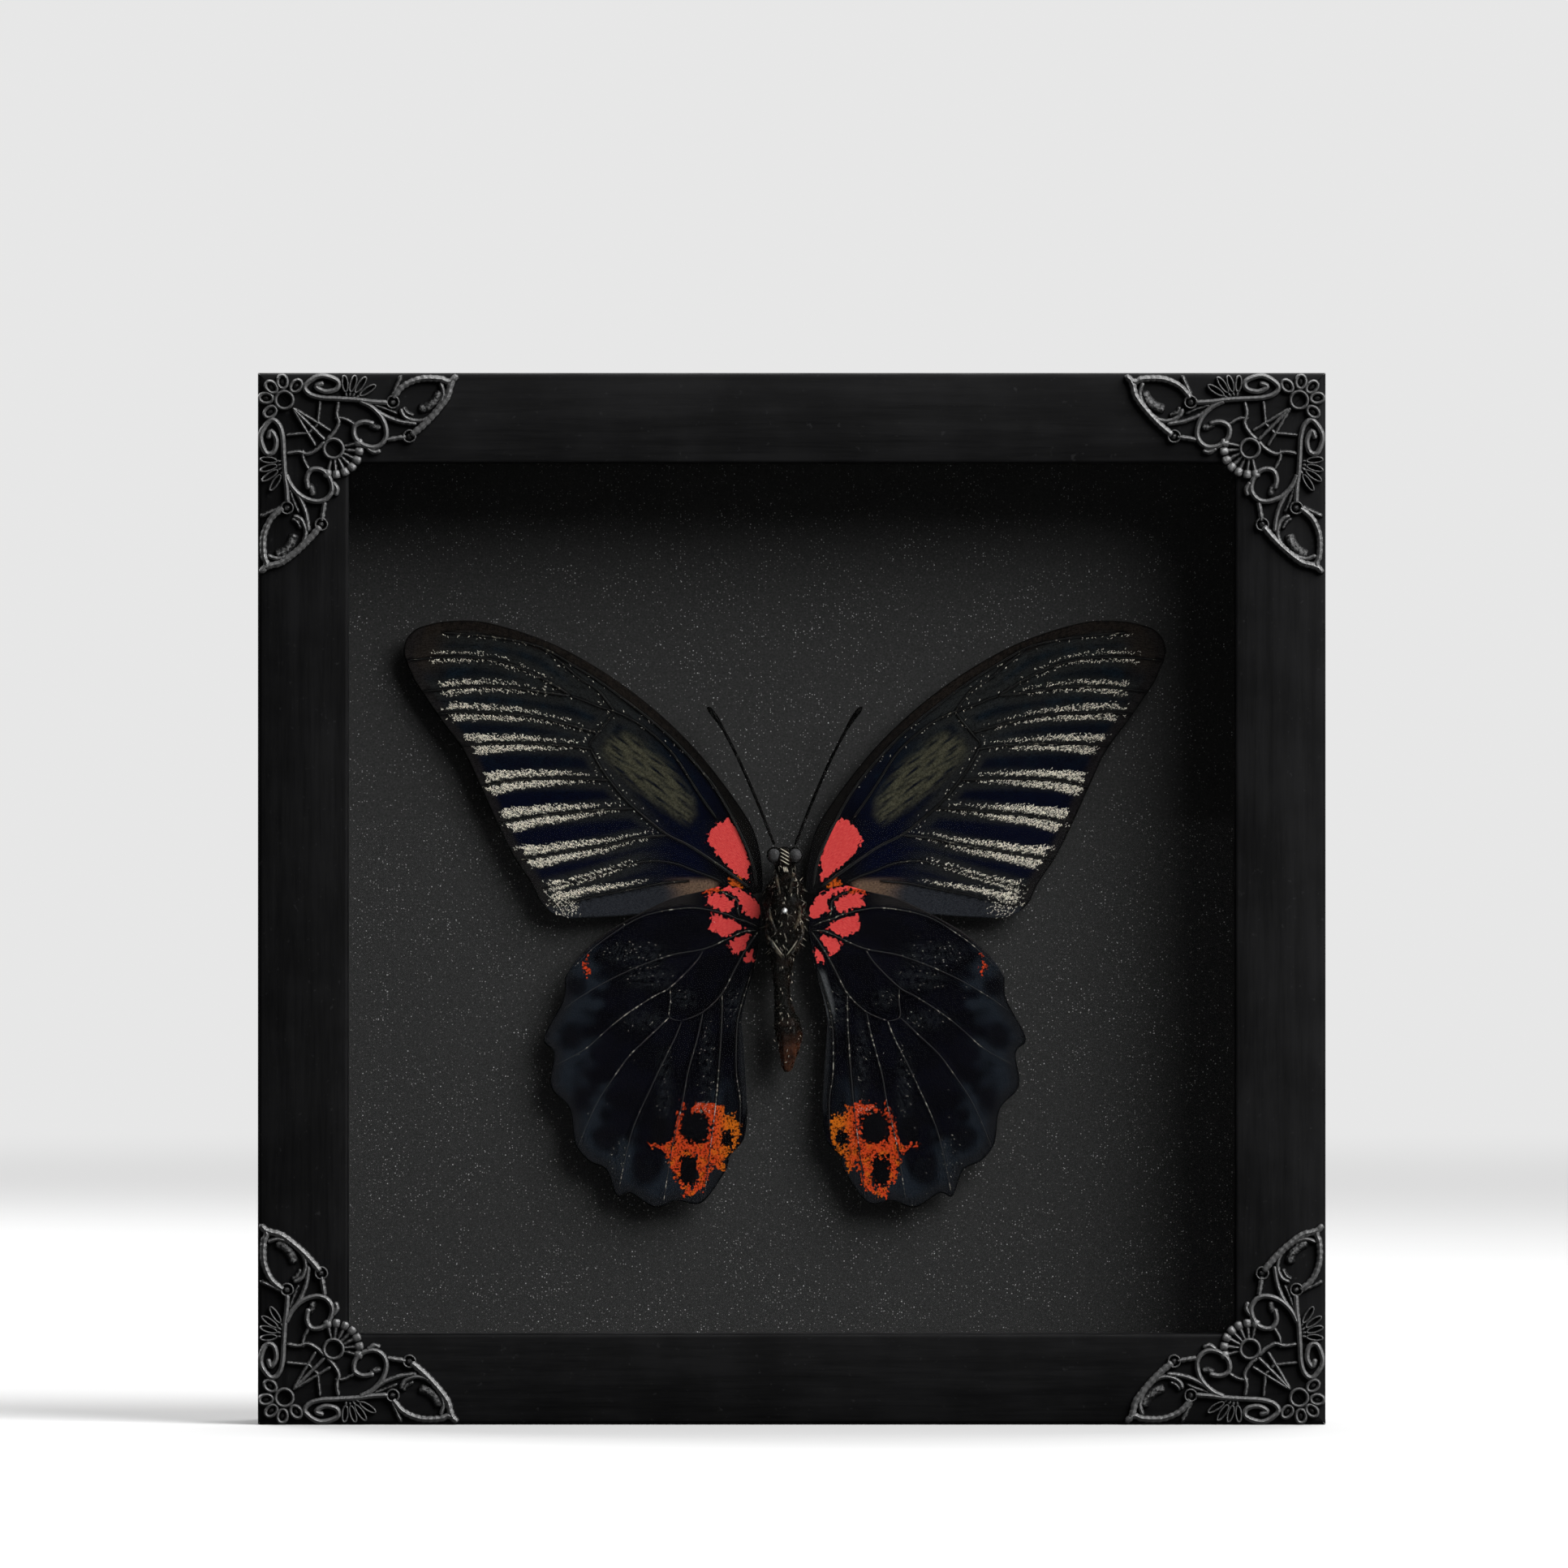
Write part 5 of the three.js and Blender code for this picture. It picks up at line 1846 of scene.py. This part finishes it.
@dataclass
class Specimen:
    """The dried butterfly: its wings, body, antennae and pin."""

    trunk_y: float = 2.2
    depth_ratio: float = 1.15
    stations: Line = (
        (11.7, 0, 0), (11.2, 1.5, 0), (9.6, 2.3, 0), (7.9, 1.9, 0), (6.4, 1.7, 0), (4.6, 3.1, 0), (1.5, 3.65, 0),
        (-3, 3.65, 0), (-6.5, 3, 0), (-9, 2.3, -0.4), (-12, 1.75, -0.6), (-15.8, 1.45, -0.5), (-19, 1.75, -0.2),
        (-22.6, 2.5, 0.6), (-25.1, 2.15, 0.9), (-28.2, 1.4, 0.6), (-30.4, 0.8, 0.4), (-30.9, 0, 0.35),
    )
    eye: tuple[float, float, float, float] = (1.25, 2.0, 0.6, 10.0)
    eye_stretch: float = 1.1
    shade_rim_points: int = 33
    shade_rim_width: float = 0.42
    shade_rim_ahead: float = 0.4
    glints: int = 84
    thorax_glints: int = 52
    # Two pale lines along the folded legs that paint their glints.
    seam: Line = ((2.5, -3.1, -5.8), (1.6, -3.5, -7.2), (0.3, -3.3, -8.9))
    legs: Sequence[Line] = (
        ((0.9, -0.6, 4.2), (1.7, -4.4, 6.4), (0.9, -4.3, 2.6)),
        ((1.8, -1.2, 1.6), (2.9, -4, -0.8), (1.5, -4.5, -4.6)),
        ((2.8, -0.6, -2), (3.2, -3.2, -5.2), (0.5, -3.7, -9.4)),
    )
    leg_radius: float = 0.36
    antenna: Line = ((1.9, 0, 11.8), (5.4, -0.6, 20.6), (8.9, -1, 28.5), (12.3, -1.2, 34.9), (14.6, -1.2, 38))
    antenna_radius: float = 0.3
    hairs: int = 1600

    def at(self, x: float, y: float, z: float) -> tuple[float, float, float]:
        """A point of the specimen, from the middle of its thorax, in the frame of the whole object."""
        return (SPECIMEN[0] + x, self.trunk_y + y, SPECIMEN[1] + z)

    def trunk(self, finishes: dict[str, bpy.types.Material]) -> None:
        """Makes the body with its segments, its legs, and its eyes with black rims that paint shade round their edges.

        Args:
            finishes: the materials of the body, legs, eyes and the rims of painted shade.
        """
        bm = bmesh.new()
        line = evenly(smooth_line(self.stations, 10), 150)
        z, half, shift = line.T
        radii = np.maximum(half, 0.0)
        radii *= 1 + 0.045 * np.cos(z * math.tau / 2.7) * eased(-8, -10, z)
        radii *= 1 + 0.06 * np.sin(z * math.tau / 3.1) * eased(-6, -2, z) * eased(7, 5, z)
        radii[0] = radii[-1] = 0
        path = np.array([self.at(x, 0, level) for x, level in zip(shift, z)])

        def section(turn: float) -> tuple[float, float]:
            """An oval with a furrow on each side of the middle."""
            rise = math.sin(turn)
            furrow = 0.06 * math.cos(6 * turn)
            return math.cos(turn) * (1 + furrow), rise * self.depth_ratio * (1 + furrow)

        sweep(bm, path, radii, 36, (0, -1, 0), section)
        settle(bm, "body_trunk", finishes["body"], "body", 70.0)
        limbs = bmesh.new()
        for side in Side:
            for leg in self.legs:
                path = smooth_line([self.at(side.value * x, y, z) for x, y, z in leg], 12)
                count = 26
                radii = round_ends(count, 2 * self.leg_radius, 3) * np.linspace(1.15, 0.75, count)
                sweep(limbs, evenly(path, count), radii, 8, (1, 0, 0.2))
        settle(limbs, "legs", finishes["legs"])
        eyes, rims = bmesh.new(), bmesh.new()
        radius, x, y, z = self.eye
        y -= self.trunk_y
        stretch = Matrix.Diagonal((1, 1, self.eye_stretch, 1))
        # Black rings round the eyes paint the shade at the eyes' edges.
        turns = np.linspace(0, math.tau, self.shade_rim_points)
        shade_rim_rise = self.eye_stretch * radius * np.sin(turns)
        for side in Side:
            shade_rim_run = side.value * x + radius * np.cos(turns)
            rim = [self.at(run, y - self.shade_rim_ahead, z + rise) for run, rise in zip(shade_rim_run, shade_rim_rise)]
            sweep(rims, np.array(rim), round_ends(self.shade_rim_points, self.shade_rim_width, 1), 8, (0, 1, 0))
            place = Matrix.Translation(self.at(side.value * x, y, z)) @ stretch
            bmesh.ops.create_uvsphere(eyes, u_segments=28, v_segments=18, radius=radius, matrix=place)
        settle(eyes, "eyes", finishes["eyes"])
        settle(rims, "eye_rims", finishes["rims"])

    def fur(self, finish: bpy.types.Material) -> None:
        """Covers the head and thorax with short hairs, some of them pale.

        Args:
            finish: the hairs' material.
        """
        luck = np.random.default_rng(41)
        line = smooth_line(self.stations, 10)
        order = np.argsort(line[:, 0])
        count = self.hairs
        z = np.where(luck.random(count) < 0.8, luck.uniform(-9.5, 8.2, count), luck.uniform(-29.5, -9, count))
        half = np.interp(z, line[order, 0], line[order, 1])
        shift = np.interp(z, line[order, 0], line[order, 2])
        turn = luck.uniform(-0.25, math.pi + 0.25, count)
        normal = np.column_stack([np.cos(turn), -np.sin(turn), np.zeros(count)])
        places = np.column_stack(
            [
                SPECIMEN[0] + shift + half * np.cos(turn),
                self.trunk_y - half * self.depth_ratio * np.sin(turn),
                SPECIMEN[1] + z,
            ]
        )
        thorax = z > -9
        sways = (luck.normal(0, 0.5, count), luck.normal(0, 0.25, count), luck.normal(-0.75, 0.5, count))
        comb = np.column_stack(sways)
        way = normal * luck.uniform(0.12, 0.5, count)[:, None] + comb
        way /= np.linalg.norm(way, axis=1, keepdims=True)
        length = np.where(thorax, luck.uniform(0.7, 1.7, count), luck.uniform(0.4, 0.9, count))
        pale = luck.random(count) < np.where(thorax, 0.06, 0.05)
        wide = np.where(pale, luck.uniform(0.07, 0.14, count), luck.uniform(0.05, 0.09, count))
        first = np.cross(way, [0.3, 1.0, 0.2])
        first /= np.linalg.norm(first, axis=1, keepdims=True)
        second = np.cross(way, first)
        axes = np.stack([first * wide[:, None], second * wide[:, None], way * length[:, None]], 1)
        tones = np.where(pale[:, None], luck.uniform(0.25, 1.0, count)[:, None] * tint(206, 198, 180), tint(9, 7, 6))
        bm = bmesh.new()
        bmesh.ops.create_cone(bm, cap_ends=True, segments=3, radius1=1.0, radius2=0.0, depth=1.0)
        bmesh.ops.translate(bm, verts=bm.verts, vec=(0, 0, 0.45))
        mesh = copies_of(bm, count)
        spread_copies(mesh, places, axes, tones)
        if np.linalg.det(axes[0]) < 0:
            mesh.flip_normals()
        settle_mesh(mesh, "body_fur", finish, None, 180.0)

    def mouth_and_glints(self, finish: bpy.types.Material) -> None:
        """Makes the striped mouthparts between the eyes and the pale brow, and pale rods that paint glints: painted
        highlights over the thorax and abdomen, and two pale lines on the legs.

        Args:
            finish: the pale material.
        """
        bm = bmesh.new()
        for level in range(4):
            z = 8.7 + 0.7 * level
            line = [self.at(-0.85, -2.75, z + 0.5), self.at(0.0, -2.95, z), self.at(0.85, -2.75, z - 0.5)]
            sweep(bm, evenly(np.array(line), 9), round_ends(9, 0.17, 2), 6)
        for shift in (-0.25, 0.0, 0.25):
            line = [self.at(shift, -2.3, 7.9), self.at(0.3 + shift * 1.4, -2.6, 6.8)]
            sweep(bm, evenly(np.array(line), 6), round_ends(6, 0.22, 2), 6)
        luck = np.random.default_rng(17)
        line = smooth_line(self.stations, 10)
        order = np.argsort(line[:, 0])
        # Pale rods over the thorax and abdomen: painted highlights that stand for glints on the glossy skin.
        for spot in range(self.glints):
            z = luck.uniform(-8.5, 6) if spot < self.thorax_glints else luck.uniform(-28, -9)
            turn, length = luck.uniform(0.5, math.pi - 0.5), luck.uniform(0.3, 0.8)
            half = np.interp(z, line[order, 0], line[order, 1]) * 1.07
            lean = luck.normal(0, 0.35)
            across, out = half * math.cos(turn), -half * self.depth_ratio * math.sin(turn)
            ends = [self.at(across + way * lean * length, out, z + way * length) for way in (-0.5, 0.5)]
            sweep(bm, evenly(np.array(ends), 5), round_ends(5, luck.uniform(0.1, 0.2), 2), 5)
        # Two pale lines on the folded legs: painted highlights.
        for side in Side:
            ends = [self.at(side.value * x, y, z) for x, y, z in self.seam]
            sweep(bm, evenly(np.array(ends), 8), round_ends(8, 0.22, 2), 6)
        settle(bm, "mouthparts_and_glints", finish)

    def antennae(self, finish: bpy.types.Material) -> None:
        """Makes the two antennae with their clubs.

        Args:
            finish: their material.
        """
        for side in Side:
            path = evenly(smooth_line([self.at(side.value * x, y, z) for x, y, z in self.antenna], 14), 90)
            share = np.linspace(0, 1, 90)
            radii = self.antenna_radius * (0.98 + 0.75 * eased(0.8, 0.94, share))
            radii *= 1 + 0.07 * np.sin(share * math.tau * 44)
            radii *= np.sqrt(np.clip(np.minimum(share * 40, (1 - share) * 30), 0, 1))
            bm = bmesh.new()
            sweep(bm, path, radii, 10)
            settle(bm, f"antenna_{side.word}_horn", finish, f"antenna_{side.word}")

    def build(self) -> None:
        """Makes the whole specimen."""
        plans = {WingKind.FORE: forewing_plan(), WingKind.HIND: hindwing_plan()}
        fore = ForewingPaint(plans[WingKind.FORE]).markings()
        paints = {(WingKind.FORE, side): fore for side in Side}
        for side in Side:
            paints[WingKind.HIND, side] = HindwingPaint(plans[WingKind.HIND], side is Side.RIGHT).markings()
        # The pale colour of each vein finish paints glints of light on the veins' scales.
        veins = {
            WingKind.FORE: VeinFinish(WingKind.FORE, (6, 6, 6), (124, 120, 108), 0.2),
            WingKind.HIND: VeinFinish(WingKind.HIND, (30, 30, 31), (178, 172, 158), 0.44),
        }
        scales = ScaleFinish("pale_scales").material()
        seed = 71
        for kind in WingKind:
            dressed = {
                "membrane": WingMembrane(kind).material(),
                "veins": veins[kind].material(),
                "scales": scales,
            }
            for side in Side:
                Wing(kind, side, plans[kind], paints[kind, side], dressed).build(seed)
                seed += 1
        finishes = {
            "body": Chitin("body_skin", (4, 4, 3), (24, 16, 12), (84, 49, 33), 0.0745, 0.068, 0.06).material(),
            "legs": Chitin("leg_skin", (8, 7, 6), (96, 84, 68), (96, 84, 68)).material(),
            "eyes": Chitin("eye_skin", (58, 58, 59), (76, 76, 77), (76, 76, 77), gloss=0.1).material(),
        }
        horn = Chitin("antenna_horn", (4, 4, 4), (10, 9, 9), (10, 9, 9), gloss=0.05).material()
        # The rims of painted shade round the eyes take the antennae's black finish.
        finishes["rims"] = horn
        self.trunk(finishes)
        self.fur(ScaleFinish("body_hair", 0.5, 0.7, 0.04).material())
        self.mouth_and_glints(Chitin("pale_stripes_and_glints", (170, 162, 148), (222, 212, 194), (222, 212, 194)).material())
        self.antennae(horn)
        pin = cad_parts["pin"]
        pin.data.materials.clear()
        pin.data.materials.append(DullSteel("pin_steel", (226, 226, 226), (180, 180, 180)).material())


@dataclass
class Studio:
    """The floor, the lights and the camera."""

    image_width: float = 0.29366
    aim: tuple[float, float] = (-0.00144, 0.120)
    distance: float = 3.5
    front: float = -0.016
    key_way: tuple[float, float, float] = (1.22, -1.0, 1.28)
    key_away: float = 1.8
    key_size: float = 1.5
    key_power: float = 52.0
    backdrop: float = 0.8
    ambient: float = 0.08

    def floor(self) -> None:
        """Lays a wide pale floor under the object."""
        bm = bmesh.new()
        bmesh.ops.create_circle(bm, cap_ends=True, segments=96, radius=60.0)
        mesh = bpy.data.meshes.new("floor")
        bm.to_mesh(mesh)
        bm.free()
        mesh.materials.append(StageFinish(backdrop=self.backdrop).material())
        floor = bpy.data.objects.new("floor", mesh)
        bpy.context.scene.collection.objects.link(floor)
        floor.visible_diffuse = False
        floor.visible_glossy = False

    def sky(self) -> None:
        """Sets a pale backdrop that gives a weaker light than it shows."""
        world = bpy.data.worlds.new("pale_backdrop")
        bpy.context.scene.world = world
        world.use_nodes = True
        sheet = NodeSheet(world.node_tree)
        seen = sheet.add("ShaderNodeLightPath").outputs["Is Camera Ray"]
        strength = sheet.add(
            "ShaderNodeMapRange", {"Value": seen, "To Min": self.ambient, "To Max": self.backdrop}
        ).outputs["Result"]
        background = world.node_tree.nodes["Background"]
        background.inputs["Color"].default_value = (1, 1, 1, 1)
        world.node_tree.links.new(strength, background.inputs["Strength"])

    def lamp(self, name: str, way: Vector, away: float, size: float, power: float) -> None:
        """Hangs a soft lamp.

        Args:
            name: its name.
            way: the direction from the object.
            away: its distance.
            size: its width.
            power: its power in watts.
        """
        lamp = bpy.data.lights.new(name, "AREA")
        lamp.shape = "DISK"
        lamp.size = size
        lamp.energy = power
        holder = bpy.data.objects.new(name, lamp)
        target = Vector((0, 0, 0.1))
        holder.location = target + way.normalized() * away
        holder.rotation_euler = (target - holder.location).to_track_quat("-Z", "Y").to_euler()
        bpy.context.scene.collection.objects.link(holder)

    def camera(self) -> None:
        """Stands a long-lensed camera level in front of the object."""
        lens = bpy.data.cameras.new("camera")
        lens.sensor_width = 36.0
        lens.sensor_fit = "HORIZONTAL"
        lens.lens = 36.0 * self.distance / self.image_width
        lens.clip_start = 0.1
        lens.clip_end = 200.0
        holder = bpy.data.objects.new("camera", lens)
        holder.location = (self.aim[0], self.front - self.distance, self.aim[1])
        holder.rotation_euler = (math.radians(90), 0, 0)
        bpy.context.scene.collection.objects.link(holder)
        bpy.context.scene.camera = holder

    def build(self) -> None:
        """Sets up the whole studio."""
        bpy.context.scene.view_settings.view_transform = "Standard"
        self.camera()
        self.floor()
        self.sky()
        self.lamp("key_lamp", Vector(self.key_way), self.key_away, self.key_size, self.key_power)
        self.lamp("floor_lamp", Vector((0.1, 0.55, 1.0)), 2.2, 1.6, 30.0)
        self.lamp("back_lamp", Vector((-0.7, 1.0, 0.5)), 2.0, 1.2, 22.0)


def main() -> None:
    """Builds the framed specimen and its studio."""
    logging.basicConfig(level=logging.INFO, format="%(message)s")
    Studio().build()
    ShadowBox().build()
    FiligreeCorners().build()
    Specimen().build()
    bpy.context.view_layer.update()


if __name__ == "__main__":
    main()
